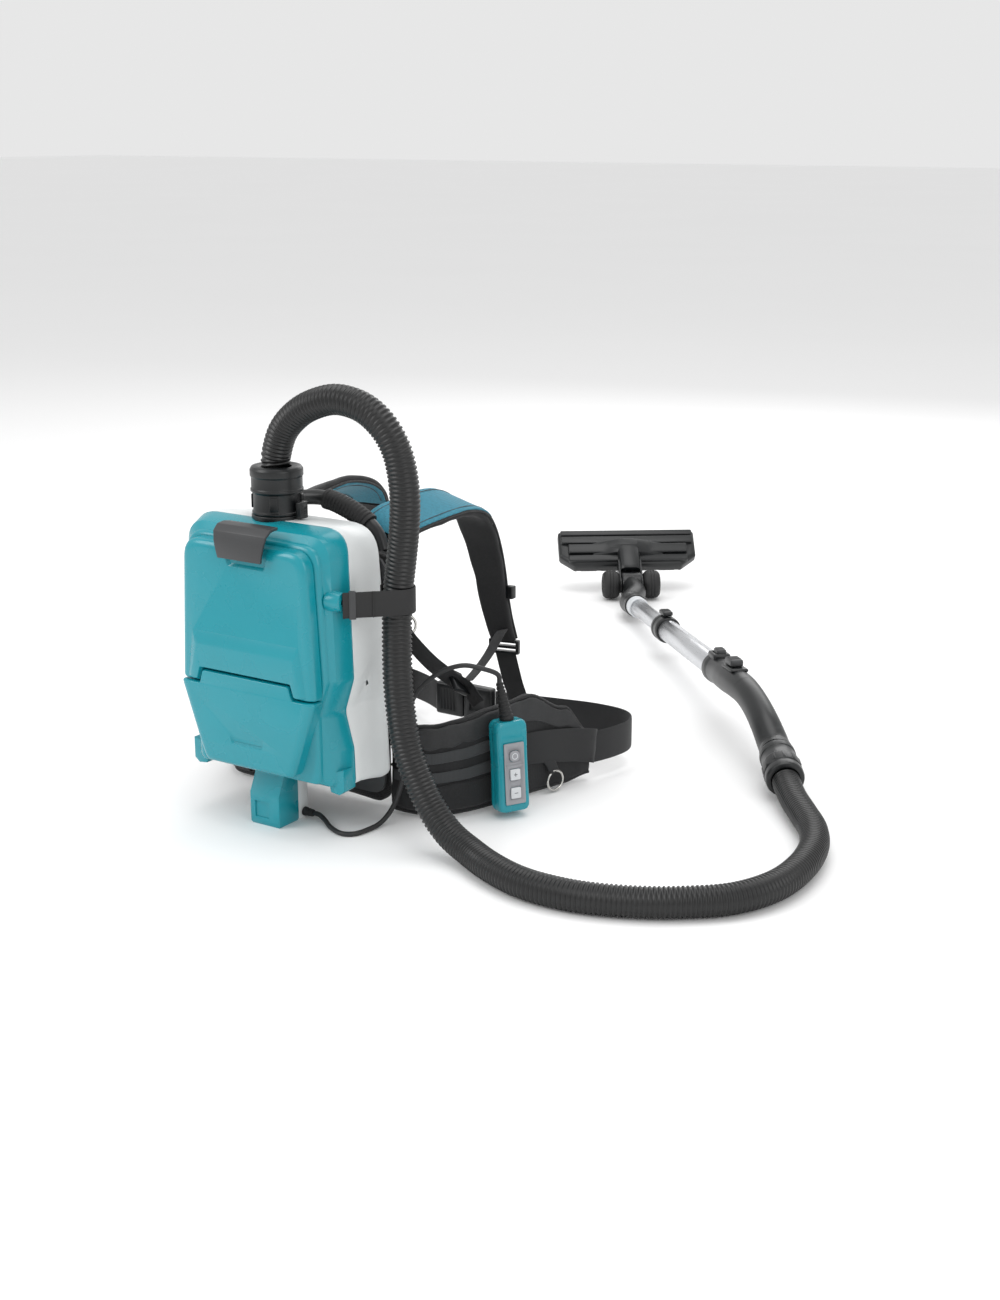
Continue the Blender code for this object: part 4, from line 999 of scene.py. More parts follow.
def shoulder_straps():
    for side, word, reach in ((1, "right", 1.0), (-1, "left", LEFT_REACH)):
        stations = reached(STRAP_STATIONS, side, reach)
        covered = int(COVERED_STEPS * reach)
        pad = strap(f"shoulder_pad_{word}", stations, 0.0115, LOOK["cloth"])
        ruffled(pad, 0.0012, 0.022, 3.1)
        show(pad, "root", [f"shoulder_strap_{word}"])
        sleeve = strap(f"shoulder_sleeve_{word}", stations, 0.0030, LOOK["teal_cloth"],
                       lift=0.0066 * side, wider=0.001, first=1, last=covered)
        ruffled(sleeve, 0.0010, 0.030, 7.7)
        show(sleeve, "root", ())
        for edge, edge_word in ((-1, "inner"), (1, "outer")):
            line = edge_line(stations, edge * 1.0, 0.0042 * side)
            show(wire(f"shoulder_piping_{word}_{edge_word}", line, 0.0017, LOOK["webbing"], 3),
                 "root", ())
            line = edge_line(stations, edge * 0.80, 0.0083 * side, 2,
                             int((COVERED_STEPS - 1) * reach))
            show(wire(f"shoulder_stitch_{word}_{edge_word}", line, 0.0005, LOOK["thread"], 2),
                 "root", ())
        tape = strap(f"shoulder_tape_{word}", stations, 0.0020, LOOK["webbing"], lift=0.0068 * side,
                     wider=-0.016, first=covered, last=-1)
        show(tape, "root", ())
        lower = strap(f"adjuster_tape_{word}", reached(WEBBING_STATIONS, side, reach), 0.0020,
                      LOOK["webbing"])
        show(lower, "root", [f"adjuster_webbing_{word}"])
        ladder_lock(word, side)
    right = reached(STRAP_STATIONS, 1, 1.0)
    point, width, across, above = strap_frames(right, SPACING)[SLIDER_STEP]
    slider = block("sternum_slider", (-0.0045, -0.0050, -0.0085), (0.0065, 0.0050, 0.0085),
                   LOOK["black"], 0.0018,
                   place=Matrix.Translation(point + across * (width / 2 + 0.0035) + above * 0.004))
    show(slider, "root", ())


def puffed(made, cap):
    """Swells a closed shape with Cloth, caps how far it moves, and applies it."""
    remesh = made.modifiers.new("remesh", "REMESH")
    remesh.mode = "VOXEL"
    remesh.voxel_size = 0.005
    baked(made)
    before = [vertex.co.copy() for vertex in made.data.vertices]
    cloth = made.modifiers.new("cloth", "CLOTH").settings
    cloth.use_pressure = True
    cloth.uniform_pressure_force = 4.0
    cloth.effector_weights.gravity = 0.0
    cloth.quality = 5
    for moment in range(1, 21):
        bpy.context.scene.frame_set(moment)
    baked(made)
    bpy.context.scene.frame_set(1)
    for vertex, start in zip(made.data.vertices, before):
        moved = vertex.co - start
        if moved.length > cap:
            vertex.co = start + moved.normalized() * cap
    subdivide = made.modifiers.new("smooth", "SUBSURF")
    subdivide.levels = subdivide.render_levels = 1
    baked(made)
    made.data.shade_smooth()


def back_harness():
    low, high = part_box("back_pad")
    narrow = [(0.119, 0.322, 0.040), (0.117, 0.142, 0.030)]
    wide = [(0.124, 0.327, 0.042), (0.122, 0.137, 0.032)]
    made = loft("spine_pad", [facing(narrow, low.y + 0.003), facing(wide, low.y + 0.009),
                              facing(wide, high.y - 0.012), facing(narrow, high.y - 0.005)],
                LOOK["mesh_cloth"])
    puffed(made, 0.006)
    for vertex in made.data.vertices:
        if vertex.co.y > 0.080:
            groove = math.exp(-((vertex.co.x / 0.007) ** 2))
            for z in (0.185, 0.235, 0.285):
                groove = max(groove, 0.8 * math.exp(-(((vertex.co.z - z) / 0.006) ** 2)))
            vertex.co.y -= 0.006 * groove
        vertex.co.y = max(vertex.co.y, 0.0592)
    show(made, "root", ["back_pad"])
    outline = facing([(0.1275, 0.3305, 0.044), (0.1255, 0.1335, 0.034)], 0.0770)
    binding = wire("spine_binding", outline, 0.0022, LOOK["webbing"], 3, cyclic=True)
    show(binding, "root", ())
    low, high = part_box("waist_belt_back")
    lumbar = box("lumbar_pad", low + Vector((0.004, 0.004, 0.004)),
                 high - Vector((0.004, 0.006, 0.004)), LOOK["mesh_cloth"], 0.008)
    puffed(lumbar, 0.005)
    show(lumbar, "root", ["waist_belt_back"])


BELT_PLAN = [(0.1005, 0.082), (0.125, 0.081), (0.150, 0.086), (0.172, 0.112), (0.190, 0.155),
             (0.206, 0.215), (0.224, 0.272), (0.241, 0.308)]
BELT_HEIGHTS = [(0.006, 0.116), (0.006, 0.116), (0.006, 0.118), (0.005, 0.122), (0.005, 0.128),
                (0.005, 0.133), (0.005, 0.106), (0.012, 0.066)]


def belt_frames(side, spacing):
    """(point, low, high, outward) along a belt wing's plan."""
    plan = [Vector((x * side, y, 0)) for x, y in BELT_PLAN]
    route = smooth_route(plan, spacing)
    made = []
    for index, point in enumerate(route):
        ahead = route[min(index + 1, len(route) - 1)] - route[max(index - 1, 0)]
        nearest = min(range(len(plan) - 1), key=lambda k: section_distance(point, plan, k))
        share = section_share(point, plan, nearest)
        ease = share * share * (3 - 2 * share)
        low = BELT_HEIGHTS[nearest][0] * (1 - ease) + BELT_HEIGHTS[nearest + 1][0] * ease
        high = BELT_HEIGHTS[nearest][1] * (1 - ease) + BELT_HEIGHTS[nearest + 1][1] * ease
        made.append((point, low, high, ahead.cross(UP).normalized() * side))
    return made


def belt_strip(name, side, look, low_share, high_share, lift, thick, first=0, last=None):
    """A tape or panel sewn on a wing's outer face, between two shares of its height."""
    rings, lengths = [], []
    for index, (point, low, high, outward) in enumerate(belt_frames(side, SPACING)[first:last]):
        bottom = low + (high - low) * low_share
        top = low + (high - low) * high_share
        middle, half = (bottom + top) / 2, (top - bottom) / 2
        rings.append([point + outward * (lift + v) + UP * (middle + u)
                      for u, v in oblong(half, thick / 2)])
        lengths.append(index * SPACING)
    return loft(name, rings, look, lengths=lengths, sharp=60)


def belt_wings():
    for side, word in ((1, "right"), (-1, "left")):
        rings = []
        frames = belt_frames(side, SPACING)
        for index, (point, low, high, outward) in enumerate(frames):
            middle, half = (low + high) / 2, (high - low) / 2
            ends = min(1.0, 0.5 + 0.5 * min(index, len(frames) - 1 - index) / 4)
            rings.append([point + outward * v * ends + UP * (middle + u)
                          for u, v in oblong(half, 0.0078, 40, 0.22)])
        core = loft(f"wing_pad_{word}", rings, LOOK["cloth"], sharp=60)
        ruffled(core, 0.0022, 0.030, 1.3, lambda co: 0.3 if co.z < 0.012 else 1.0)
        for vertex in core.data.vertices:
            vertex.co.z = max(vertex.co.z, 0.0012)
        show(core, "root", [f"belt_wing_{word}"])
        top = belt_strip(f"wing_panel_{word}", side, LOOK["smooth_cloth"], 0.74, 0.975, 0.0068,
                         0.0050)
        ruffled(top, 0.0022, 0.020, 4.4)
        show(top, "root", ())
        for name, low, high in (("upper_tape", 0.58, 0.70), ("lower_tape", 0.36, 0.48)):
            tape = belt_strip(f"{name}_{word}", side, LOOK["grey_webbing"], low, high, 0.0083,
                              0.0022, 2, 42)
            show(tape, "root", ())
        pocket = belt_strip(f"pocket_{word}", side, LOOK["cloth"], 0.05, 0.33, 0.0078, 0.0066,
                            5, 38)
        ruffled(pocket, 0.0026, 0.018, 9.1)
        show(pocket, "root", ())
        for edge in ("top", "bottom"):
            line = [point + UP * (high - 0.0008 if edge == "top" else max(low, 0.003))
                    + outward * 0.004 for point, low, high, outward in frames]
            piping = wire(f"wing_piping_{edge}_{word}", line, 0.0021, LOOK["webbing"], 3)
            show(piping, "root", ())


WAIST_Z = 0.0430
WAIST = {
    "right": [(0.2470, 0.3150), (0.2570, 0.3450), (0.2610, 0.3780), (0.2520, 0.4030),
              (0.2280, 0.4180), (0.1850, 0.4200), (0.1350, 0.4110), (0.0850, 0.4000),
              (0.0470, 0.3920)],
    "left": [(-0.0470, 0.3880), (-0.0800, 0.4060), (-0.1200, 0.4190), (-0.1600, 0.4140),
             (-0.2060, 0.3870), (-0.2380, 0.3480), (-0.2470, 0.3150)],
}


def ring_wire(name, place, wide, tall, radius, count, resolution):
    """A closed wire loop in steel, round place's Z."""
    turns = [math.tau * k / count for k in range(count)]
    return wire(name, [place @ Vector((math.cos(a) * wide, math.sin(a) * tall, 0)) for a in turns],
                radius, LOOK["steel"], resolution, cyclic=True)


SEWN_TAPE = (((0.1990, 0.1800, 0.064), 0.040), ((0.2180, 0.2200, 0.064), 0.042),
             ((0.2360, 0.2720, 0.056), 0.044), ((0.2490, 0.3060, 0.048), 0.044),
             ((0.2480, 0.3180, WAIST_Z), 0.043))
RING_TAB = ((0.2215, 0.2360, 0.052), (0.2270, 0.2425, 0.038), (0.2300, 0.2440, 0.0305),
            (0.2335, 0.2440, 0.0280))


def waist():
    for word, plan in WAIST.items():
        stations = [((x, y, WAIST_Z), 0.042, (0, 0, 1)) for x, y in plan]
        made = strap(f"waist_tape_{word}", stations, 0.0022, LOOK["webbing"])
        show(made, "root", [f"waist_webbing_{word}"])
    sewn = [(point, width, (0, 0, 1)) for point, width in SEWN_TAPE]
    show(strap("waist_tape_sewn", sewn, 0.0022, LOOK["webbing"]), "root", ())
    for name in ("buckle_socket", "buckle_prong"):
        low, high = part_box(f"waist_{name}")
        if name == "buckle_prong":
            slots = row(5, (low.x + 0.010, low.y - 0.002, low.z + 0.008),
                        (low.x + 0.0125, low.y + 0.0012, high.z - 0.008), (0.0052, 0, 0))
        else:
            middle = (low.x + high.x) / 2
            slots = [box("window", (middle - 0.012, low.y - 0.002, low.z + 0.015),
                         (middle + 0.012, low.y + 0.003, high.z - 0.015))]
        made = block(name, low, high, LOOK["black"], 0.0040, slots, "DIFFERENCE")
        softened(made, 0.0005)
        show(made, "root", [f"waist_{name}"])
    place = aimed((0.95, -0.3, 0), (0.2320, 0.2450, 0.0160))
    ring = ring_wire("d_ring_wire", place, 0.0125, 0.0125, 0.0015, 48, 5)
    show(ring, "belt_d_ring", ["belt_d_ring"])
    tab = [(point, 0.016, (0.3, 0.95, 0)) for point in RING_TAB]
    show(strap("d_ring_tab", tab, 0.0020, LOOK["webbing"], 0.002), "root", ())


LIFT_TAPE = (((0.1100, 0.0830, 0.2420), 0.026), ((0.1220, 0.0950, 0.2150), 0.026),
             ((0.1330, 0.1150, 0.1880), 0.026), ((0.1440, 0.1400, 0.1640), 0.026),
             ((0.1560, 0.1600, 0.1460), 0.028), ((0.1700, 0.1640, 0.1280), 0.030))
STABILISER_TAPE = ((0.1160, 0.3040, 0.1830), (0.1230, 0.2820, 0.1800), (0.1300, 0.2500, 0.1660),
                   (0.1370, 0.2150, 0.1560), (0.1460, 0.1760, 0.1500))


def lift_straps():
    """The load straps from the back frame to the belt, with their ring and buckle."""
    down = [(point, width, (0.55, -0.35, 0.75)) for point, width in LIFT_TAPE]
    show(strap("lift_tape", down, 0.0022, LOOK["webbing"]), "root", ())
    back = [(point, 0.016, (1, 0.2, 0.3)) for point in STABILISER_TAPE]
    show(strap("stabiliser_tape", back, 0.0020, LOOK["webbing"]), "root", ())
    slot = box("slot", (-0.0100, -0.0110, -0.006), (-0.0060, 0.0110, 0.006))
    buckle = block("lift_buckle", (-0.0160, -0.0150, -0.0035), (0.0160, 0.0150, 0.0035),
                   LOOK["black"], 0.0018, [slot], "DIFFERENCE",
                   aimed((0.75, 0.3, 0.6), (0.1490, 0.1500, 0.1560), (0.5, -0.4, -0.7)))
    show(buckle, "root", ())
    place = aimed((0.85, -0.25, 0.3), (0.1150, 0.0880, 0.2370))
    show(ring_wire("lift_ring", place, 0.0130, 0.0170, 0.0016, 40, 4), "root", ())


# ================================================================ remote control
REMOTE_CENTRE = Vector((0.2240, 0.1490, 0.0640))
REMOTE_SIZE = Vector((0.042, 0.028, 0.112))
REMOTE_YAW = math.atan2(-0.48, 0.87) + math.pi / 2
REMOTE = (Matrix.Translation(REMOTE_CENTRE) @ Matrix.Rotation(REMOTE_YAW, 4, "Z")
          @ Matrix.Rotation(math.radians(-5), 4, "X"))
KEY_HEIGHTS = {"power_button": 0.014, "speed_button": -0.009, "mode_button": -0.032}
FACE_OUT = -REMOTE_SIZE.y / 2
RELIEF_BASE = REMOTE @ Vector((0, 0, REMOTE_SIZE.z / 2 + 0.0003))


def remote_case():
    half = REMOTE_SIZE / 2
    rings = []
    for z, size in ((-half.z, 0.78), (-half.z + 0.0015, 0.90), (-half.z + 0.0050, 0.985),
                    (-half.z + 0.012, 1.0), (-0.020, 0.985), (0.010, 0.975),
                    (half.z - 0.016, 1.0), (half.z - 0.006, 0.985), (half.z - 0.0020, 0.91),
                    (half.z, 0.80)):
        wide, deep = half.x * size, half.y * (0.35 + 0.65 * size)
        corners = [(wide, deep, 0.009), (wide, -deep, 0.006), (-wide, -deep, 0.006),
                   (-wide, deep, 0.009)]
        rings.append([(point.x, point.y, z) for point in rounded(corners, 6)])
    case = loft("remote_shell", rings, LOOK["teal"], sharp=45)
    recess = box("recess", (-0.0145, FACE_OUT - 0.003, -0.048), (0.0145, FACE_OUT + 0.0004, 0.032),
                 None, 0.0012)
    groove = box("groove", (-0.03, 0.0008, -0.07), (0.03, 0.0014, 0.07))
    inner = loft("inner", [[(x * 0.985, y * 0.985, z) for x, y, z in ring] for ring in rings[2:-2]])
    baked(case, [recess])
    baked(case, [baked(groove, [inner])])
    softened(case, 0.0005)
    case.matrix_world = REMOTE
    show(case, "root", ["remote_case"])


def on_face(name, half, corner, height, depths, look=None, steps=6, sharp=40):
    """A rounded square on the remote's face; depths are (outward, shrink)."""
    rings = []
    for outward, shrink in depths:
        s, r = half - shrink, max(corner - shrink, 0.0005)
        outline = rounded([(s, s, r), (s, -s, r), (-s, -s, r), (-s, s, r)], steps)
        rings.append([(point.x, FACE_OUT + outward, point.y + height) for point in outline])
    return loft(name, rings, look, sharp=sharp)


def remote_keys():
    outline = rounded([(0.0135, 0.030, 0.0018), (0.0135, -0.046, 0.0018), (-0.0135, -0.046, 0.0018),
                       (-0.0135, 0.030, 0.0018)], 6)
    label = loft("remote_label", [[(point.x, FACE_OUT - out, point.y) for point in outline]
                                  for out in (0.0003, 0.0015, 0.0018)], LOOK["label"], sharp=30)
    baked(label, [on_face("hole", 0.0074, 0.0070 if word == "power_button" else 0.0020, height,
                          ((-0.006, 0.0), (0.002, 0.0))) for word, height in KEY_HEIGHTS.items()])
    baked(label, [box("line", (-0.012, FACE_OUT - 0.0024, 0.0027),
                      (0.012, FACE_OUT - 0.0015, 0.0034))])
    label.matrix_world = REMOTE
    show(label, "root", ["remote_keypad"])

    for word, height in KEY_HEIGHTS.items():
        round_key = word == "power_button"
        key = on_face(f"{word}_cap", 0.0068, 0.0066 if round_key else 0.0018, height,
                      ((-0.0012, 0.0), (-0.0026, 0.0), (-0.0031, 0.0004), (-0.0033, 0.0012)),
                      LOOK["label" if round_key else "key"], 8)
        key.matrix_world = REMOTE
        show(key, word, [word])
        if round_key:
            icon = turned(f"{word}_icon", [(0.0040, 0.0004), (0.0040, 0.0), (0.0031, 0.0),
                                           (0.0031, 0.0004)], LOOK["key"],
                          REMOTE @ Vector((0, FACE_OUT - 0.0032, height)),
                          REMOTE.to_3x3() @ Vector((0, -1, 0)), ring=True, round_by=0.0)
        else:
            near, far = FACE_OUT - 0.0036, FACE_OUT - 0.0032
            icon = box(f"{word}_icon", (-0.0024, near, height - 0.0004),
                       (0.0024, far, height + 0.0004), LOOK["icon"], 0.0001, 1)
            if word == "speed_button":
                cross = box("cross", (-0.0004, near, height - 0.0024),
                            (0.0004, far, height + 0.0024), None, 0.0001, 1)
                baked(icon, [cross], "UNION")
            icon.matrix_world = REMOTE
        show(icon, word, ())


def strain_relief(base):
    length = (RELIEF_TIP - base).length
    profile = [(0.0, length), (0.0041, length)]
    count = 9
    for k in range(count):
        share = (k + 0.5) / count
        radius = 0.0044 + 0.0036 * share
        height = length * (1 - share * 0.86)
        profile += [(radius, height + 0.0012), (radius, height - 0.0004),
                    (radius - 0.0009, height - 0.0008), (radius - 0.0009, height - 0.0022)]
    profile += [(0.0088, 0.0050), (0.0088, 0.0), (0.0, 0.0)]
    relief = turned("strain_relief", profile, LOOK["rubber"], base, RELIEF_TIP - base, 32,
                    round_by=0.0002)
    show(relief, "root", ["remote_strain_relief"])


def cord_hardware():
    sleeve = turned("sleeve_cap", [
        (0.0040, 0.026), (0.0048, 0.025), (0.0052, 0.001), (0.0046, 0.0), (0.0034, 0.0),
        (0.0034, 0.026)], LOOK["label"], (0.1310, 0.0640, 0.0880), ring=True, steps=24)
    show(sleeve, "root", ["cord_sleeve"])
    gland = turned("gland_body", [
        (0.0, 0.0138), (0.0042, 0.0138), (0.0046, 0.0110), (0.0042, 0.0100), (0.0050, 0.0075),
        (0.0044, 0.0066), (0.0056, 0.0030), (0.0056, 0.0), (0, 0)], LOOK["rubber"],
        (0.0223, 0.004, 0.0085), (1, 0, 0), 32)
    show(gland, "root", ["cord_gland"])


# ================================================================ wand
def along_pipe(distance):
    return PIPE_START + PIPE_AXIS * distance


PIPE_ABOVE = (UP - PIPE_AXIS * PIPE_AXIS.z).normalized()
PIPE_LENGTH = 0.503
COLLAR_AT = 0.277
GRIP_ROUTE = [PIPE_START - PIPE_AXIS * 0.0003, PIPE_START - PIPE_AXIS * 0.036,
              (0.3030, 0.5877, 0.0765),
              (0.3330, 0.5545, 0.0805), (0.3610, 0.5260, 0.0800), (0.3891, 0.4965, 0.0730),
              (0.4163, 0.4670, 0.0610), CUFF_START - CUFF_AXIS * 0.0220,
              CUFF_START - CUFF_AXIS * 0.0006]


def on_pipe(distance, above):
    return aimed(PIPE_AXIS, along_pipe(distance) + PIPE_ABOVE * above, PIPE_ABOVE)


def wand_handle():
    path = smooth_route(GRIP_ROUTE, 0.0040)
    sizes = []
    for index in range(len(path)):
        share = index / (len(path) - 1)
        waist_in = 0.0018 * math.sin(math.pi * min(1.0, max(0.0, (share - 0.30) / 0.6)))
        rim = 0.0012 if share < 0.05 or share > 0.96 else 0.0
        grip = 0.0007 if 0.50 < share < 0.88 and index % 2 else 0.0
        sizes.append((0.0202 - waist_in + rim, 0.0206 - waist_in * 0.5 + rim - grip))
    made = sweep("wand_handle", path, sizes, LOOK["black"], 40, bore=0.0177, sharp=60)
    show(made, "root", ["bent_handle"])

    well = box("well", (0.0025, -0.0080, -0.0115), (0.0100, 0.0080, 0.0115))
    guard = block("release_guard", (-0.0050, -0.0125, -0.0170), (0.0060, 0.0125, 0.0170),
                  LOOK["black"], 0.0035, [well], "DIFFERENCE",
                  aimed(-PIPE_AXIS, along_pipe(-0.016) + PIPE_ABOVE * 0.0190, PIPE_ABOVE))
    show(guard, "root", ())
    ribs = row(4, (0.0036, -0.0052, -0.0060), (0.0050, 0.0052, -0.0048), (0, 0, 0.0040))
    button = block("release_key", (-0.0040, -0.0068, -0.0100), (0.0042, 0.0068, 0.0100),
                   LOOK["latch"], 0.0022, ribs, place=on_pipe(-0.020, 0.0265))
    show(button, "pipe_release_button", ["pipe_release_button"])

    place = aimed((0.0311, -0.0332, 0.004), (0.3190, 0.5697, 0.1060), (0, 0, 1))
    ribs = row(5, (0.0040, -0.0070, -0.0090), (0.0058, 0.0070, -0.0078), (0, 0, 0.0040))
    slider = block("slider_cap", (-0.0050, -0.0090, -0.0150), (0.0048, 0.0090, 0.0150),
                   LOOK["latch"], 0.0026, ribs, place=place)
    show(slider, "air_slider", ["air_slider"])
    rail = block("slider_rail", (-0.0105, -0.0125, -0.0190), (-0.0054, 0.0125, 0.0270),
                 LOOK["black"], 0.0024, place=place)
    show(rail, "root", ())

    cuff = turned("end_cuff", [
        (0.0195, 0.0660), (0.0235, 0.0652), (0.0246, 0.0620), (0.0246, 0.0540), (0.0236, 0.0530),
        (0.0236, 0.0500), (0.0246, 0.0490), (0.0246, 0.0330), (0.0232, 0.0300), (0.0224, 0.0200),
        (0.0224, 0.0130), (0.0232, 0.0120), (0.0232, 0.0040), (0.0222, 0.0006), (0.0173, 0.0006),
        (0.0173, 0.040), (0.0178, 0.046), (0.0178, 0.0660)], LOOK["black"], CUFF_START, CUFF_AXIS,
        72, ring=True)
    ribs = round_row(12, (0.0236, -0.0016, 0.0345), (0.0252, 0.0016, 0.0480), 0.0004,
                     aimed(CUFF_AXIS, CUFF_START))
    baked(cuff, ribs, "UNION")
    softened(cuff, 0.0003)
    show(cuff, "hose_end_cuff", ["hose_end_cuff"])


def pipes():
    outer = turned("outer_tube", [
        (0.0170, 0.3065), (0.0170, 0.0), (0.0158, 0.0), (0.0158, 0.3065)], LOOK["pipe"],
        along_pipe(-0.030), PIPE_AXIS, 72, ring=True, round_by=0.0004)
    groove = sweep("groove", [along_pipe(at) + PIPE_ABOVE * 0.0176 for at in (0.045, 0.262)],
                   [(0.0022, 0.0012)] * 2, None, 12)
    baked(outer, [groove])
    show(outer, "root", ["outer_pipe"])
    collar = turned("collar_body", [
        (0.0180, 0.036), (0.0204, 0.0345), (0.0210, 0.0310), (0.0210, 0.0240), (0.0202, 0.0230),
        (0.0202, 0.0130), (0.0210, 0.0120), (0.0210, 0.0050), (0.0198, 0.0), (0.0144, 0),
        (0.0144, 0.036)], LOOK["black"], along_pipe(COLLAR_AT), PIPE_AXIS, 64, ring=True)
    show(collar, "root", ["pipe_collar"])
    ribs = row(5, (0.0028, -0.0060, -0.0080), (0.0044, 0.0060, -0.0068), (0, 0, 0.0040))
    key = block("collar_key", (-0.0036, -0.0080, -0.0150), (0.0034, 0.0080, 0.0150),
                LOOK["black"], 0.0026, ribs, place=on_pipe(COLLAR_AT + 0.018, 0.0258))
    show(key, "collar_button", ["collar_button"])
    inner = turned("inner_tube", [
        (0.0140, PIPE_LENGTH - 0.172), (0.0140, 0.0), (0.0128, 0.0), (0.0128, PIPE_LENGTH - 0.172)],
        LOOK["pipe"], along_pipe(0.150), PIPE_AXIS, 64, ring=True, round_by=0.0004)
    show(inner, "inner_pipe", ["inner_pipe"])
    ferrule = turned("ferrule_ring", [
        (0.0160, 0.0215), (0.0172, 0.0200), (0.0172, 0.0140), (0.0166, 0.0130), (0.0166, 0.0100),
        (0.0172, 0.0090), (0.0172, 0.002), (0.0160, 0), (0.0128, 0), (0.0128, 0.0215)],
        LOOK["ferrule"], along_pipe(PIPE_LENGTH - 0.0217), PIPE_AXIS, 64, ring=True)
    show(ferrule, "inner_pipe", ["pipe_ferrule"])


# ================================================================ floor head
AXLE = Vector((-0.1664, 1.1560, 0.0262))
AXLE_DIRECTION = Vector((0.805, 0.593, 0.0)).normalized()
HEAD_PITCH = math.radians(42)
HEAD_WIDTH, HEAD_DEPTH, HEAD_REAR = 0.245, 0.074, 0.045
LEVEL = UP.cross(AXLE_DIRECTION)
FORWARD = LEVEL * math.cos(HEAD_PITCH) + UP * math.sin(HEAD_PITCH)
HEAD = Matrix((AXLE_DIRECTION, FORWARD, AXLE_DIRECTION.cross(FORWARD))).transposed().to_4x4()
HEAD.translation = AXLE


def head_outline(margin, z, chamfer=0.026):
    half, front, rear = HEAD_WIDTH / 2 - margin, HEAD_REAR + HEAD_DEPTH - margin, HEAD_REAR + margin
    corners = [(half, rear + 0.020, 0.006), (half, front, 0.006), (-half, front, 0.006),
               (-half, rear + 0.020, 0.006), (-half + chamfer, rear, 0.006),
               (half - chamfer, rear, 0.006)]
    return [(point.x, point.y, z) for point in rounded(corners, 6)]


EAR_X = 0.0190
TYRE = [(0.0, 0.0138), (0.0050, 0.0145), (0.0060, 0.0120), (0.0150, 0.0120), (0.0165, 0.0145),
        (0.0195, 0.0140), (0.0232, 0.0105), (0.0246, 0.0060), (0.0246, 0.0035), (0.0240, 0.0030),
        (0.0240, 0.0022), (0.0249, 0.0018), (0.0249, -0.0018), (0.0240, -0.0022),
        (0.0240, -0.0030), (0.0246, -0.0035), (0.0246, -0.0060), (0.0232, -0.0105),
        (0.0195, -0.0140), (0.0165, -0.0145), (0.0, -0.0145)]


def floor_head():
    head = loft("head_shell", [head_outline(0.0, -0.0200), head_outline(0.0, -0.0075),
                               head_outline(0.0012, -0.0052), head_outline(0.0045, -0.0030)],
                LOOK["black"], sharp=35)
    baked(head, [loft("hollow", [head_outline(0.003, -0.03), head_outline(0.003, -0.0065)])])
    front = HEAD_REAR + HEAD_DEPTH
    bars = []
    for low_y, high_y, top in ((front - 0.0120, front - 0.0010, 0.0010),
                               (front - 0.0300, front - 0.0150, 0.0030),
                               (front - 0.0520, front - 0.0330, 0.0050),
                               (HEAD_REAR + 0.0060, front - 0.0550, 0.0022)):
        half = HEAD_WIDTH / 2 - (0.004 if low_y > 0.075 else 0.016)
        bars.append(box("bar", (-half, low_y, -0.0065), (half, high_y, top), None, 0.0022))
    wing = loft("duct_wing", [
        [(x, y, z) for y, z in ((0.060, -0.0050), (0.064, rise * 0.7), (0.076, rise),
                                (0.090, rise * 0.8), (0.098, -0.0050))]
        for x, rise in ((-0.062, 0.001), (-0.035, 0.0085), (-0.016, 0.0160), (0.016, 0.0160),
                        (0.035, 0.0085), (0.062, 0.001))])
    duct = loft("duct", [
        [(x * swell, y, z) for x, z in ((0.0175, -0.013), (0.0185, rise - 0.003),
                                        (0.0155, rise + 0.003), (0.010, rise + 0.006),
                                        (-0.010, rise + 0.006), (-0.0155, rise + 0.003),
                                        (-0.0185, rise - 0.003), (-0.0175, -0.013))]
        for y, rise, swell in ((0.0240, 0.0125, 0.96), (0.0300, 0.0135, 1.0), (0.060, 0.0130, 1.05),
                               (0.085, 0.0060, 1.15), (0.102, -0.0060, 1.2))])
    ears = [turned("ear", [(0.0, 0.0018), (0.0150, 0.0018), (0.0150, -0.0018), (0.0, -0.0018)],
                   None, (x, 0, 0), (1, 0, 0)) for x in (-EAR_X, EAR_X)]
    arms = [box("arm", (x - 0.0018, -0.004, -0.0120), (x + 0.0018, 0.046, 0.0120), None, 0.001)
            for x in (-EAR_X, EAR_X)]
    baked(head, [*bars, wing, duct, *ears, *arms], "UNION")
    softened(head, 0.0006)
    head.matrix_world = HEAD
    show(head, "nozzle_head", ["nozzle_head"])

    sole = loft("sole_plate", [head_outline(0.004, -0.0262), head_outline(0.0015, -0.0252),
                               head_outline(0.001, -0.0203)], LOOK["latch"], sharp=35)
    slot = box("slot", (-0.100, 0.068, -0.04), (0.100, 0.094, 0.0), None, 0.004)
    lanes = [box("lane", (x - 0.004, HEAD_REAR - 0.01, -0.0300), (x + 0.004, 0.070, -0.0240))
             for x in (-0.088, -0.052, 0.052, 0.088)]
    baked(sole, [slot, *lanes])
    sole.matrix_world = HEAD
    show(sole, "nozzle_head", ["nozzle_sole"])


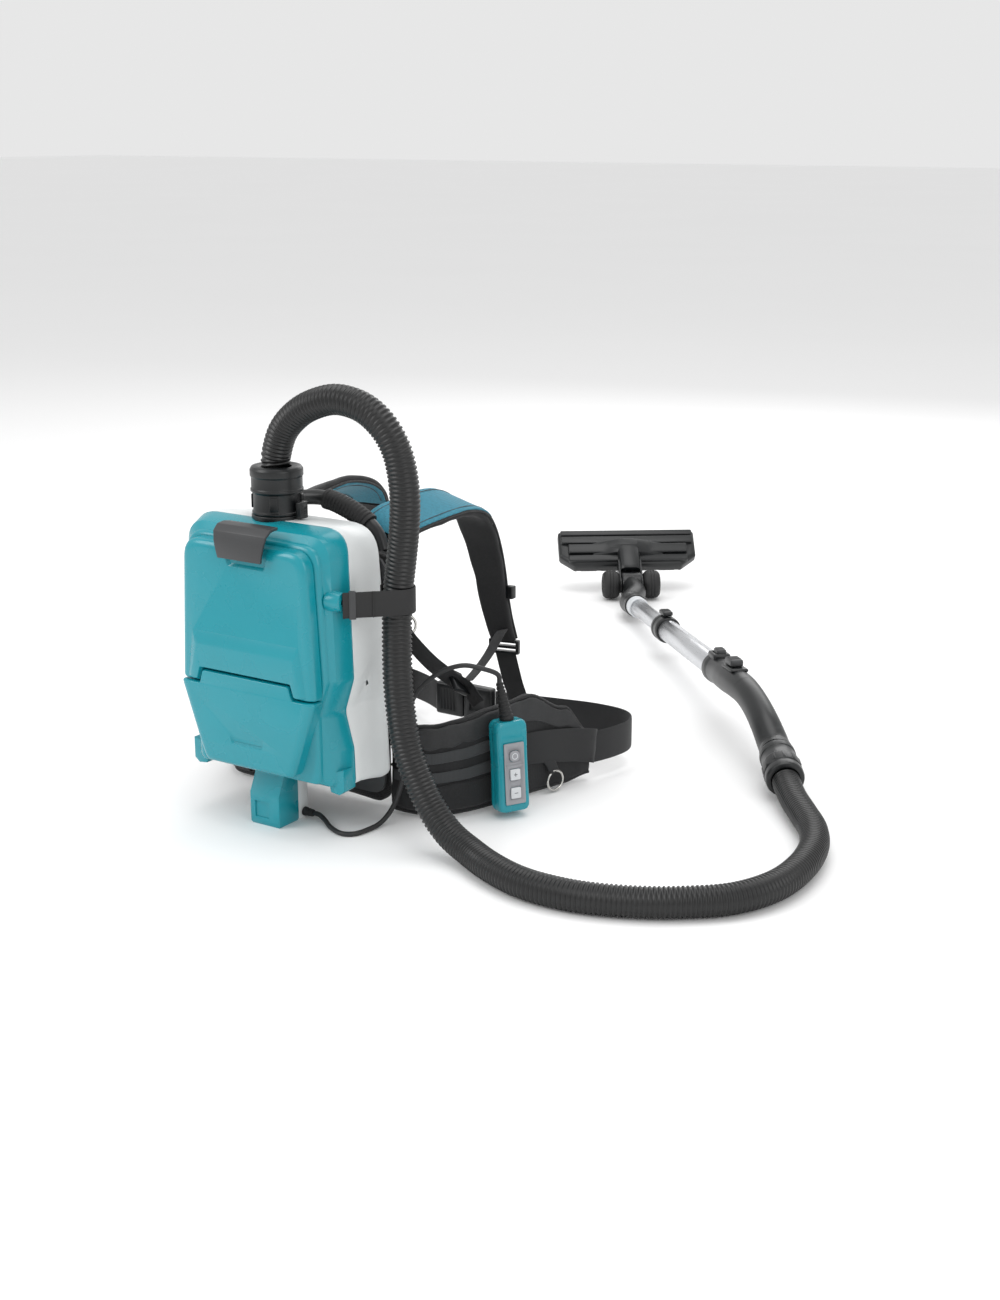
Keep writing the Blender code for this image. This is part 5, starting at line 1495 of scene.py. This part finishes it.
def brush_strips():
    shape = bmesh.new()
    sides = [Vector(side) * 0.0006 for side in ((1, 0, 0), (0, 1, 0), (-1, 0, 0), (0, -1, 0))]
    for strip, y in enumerate((0.0655, 0.0968)):
        for k in range(92):
            x = -0.098 + k * 0.196 / 91
            lean = noise.noise(Vector((k * 0.7, strip * 5.0, 1.0))) * 0.0012
            root, tip = Vector((x, y, -0.0235)), Vector((x + lean, y + lean, -0.0300))
            base = [shape.verts.new(root + side) for side in sides]
            end = [shape.verts.new(tip + side * 0.7) for side in sides]
            for j in range(4):
                shape.faces.new((base[j], base[(j + 1) % 4], end[(j + 1) % 4], end[j]))
            shape.faces.new(end)
            shape.faces.new(base)
    bristles = from_bmesh("brush_strips", shape, LOOK["bristle"])
    bristles.matrix_world = HEAD
    show(bristles, "nozzle_head", ())


def wheels():
    for side, word in ((-1, "left"), (1, "right")):
        profile = TYRE if side > 0 else [(radius, -height) for radius, height in reversed(TYRE)]
        wheel = turned(f"tyre_{word}", profile, LOOK["rubber"],
                       AXLE + AXLE_DIRECTION * side * 0.0358, AXLE_DIRECTION, 64, round_by=0.0005)
        show(wheel, f"wheel_{word}", [f"wheel_{word}"])


def neck():
    start = along_pipe(PIPE_LENGTH + 0.0003)
    route = [start, start + PIPE_AXIS * 0.012, start + PIPE_AXIS * 0.045,
             AXLE - LEVEL * 0.070 + UP * 0.001,
             AXLE - LEVEL * 0.030, AXLE - LEVEL * 0.006]
    path = smooth_route(route, 0.004)
    last = len(path) - 1
    sizes = []
    for index in range(last + 1):
        share = index / last
        rim = 0.0014 if share < 0.09 else (0.0009 if 0.20 < share < 0.25 else 0.0)
        sizes.append((0.0176 - 0.0012 * share + rim, 0.0176 + rim))
    made = sweep("neck_body", path, sizes, LOOK["black"], 40, sharp=50)
    barrel = turned("barrel", [(0.0, 0.0168), (0.0205, 0.0168), (0.0215, 0.0150), (0.0215, -0.0150),
                               (0.0205, -0.0168), (0.0, -0.0168)], None, AXLE, AXLE_DIRECTION, 64)
    baked(made, [barrel], "UNION")
    softened(made, 0.0008)
    show(made, "neck_elbow", ["neck_elbow"])


stage()
suction_hose()
front_shell()
rear_shell()
cover()
latch()
inlet()
hose_clamp()
carry_handle()
shoulder_straps()
back_harness()
belt_wings()
waist()
lift_straps()
remote_case()
remote_keys()
strain_relief(RELIEF_BASE)
control_cord(RELIEF_BASE)
cord_hardware()
wand_handle()
pipes()
floor_head()
brush_strips()
wheels()
neck()
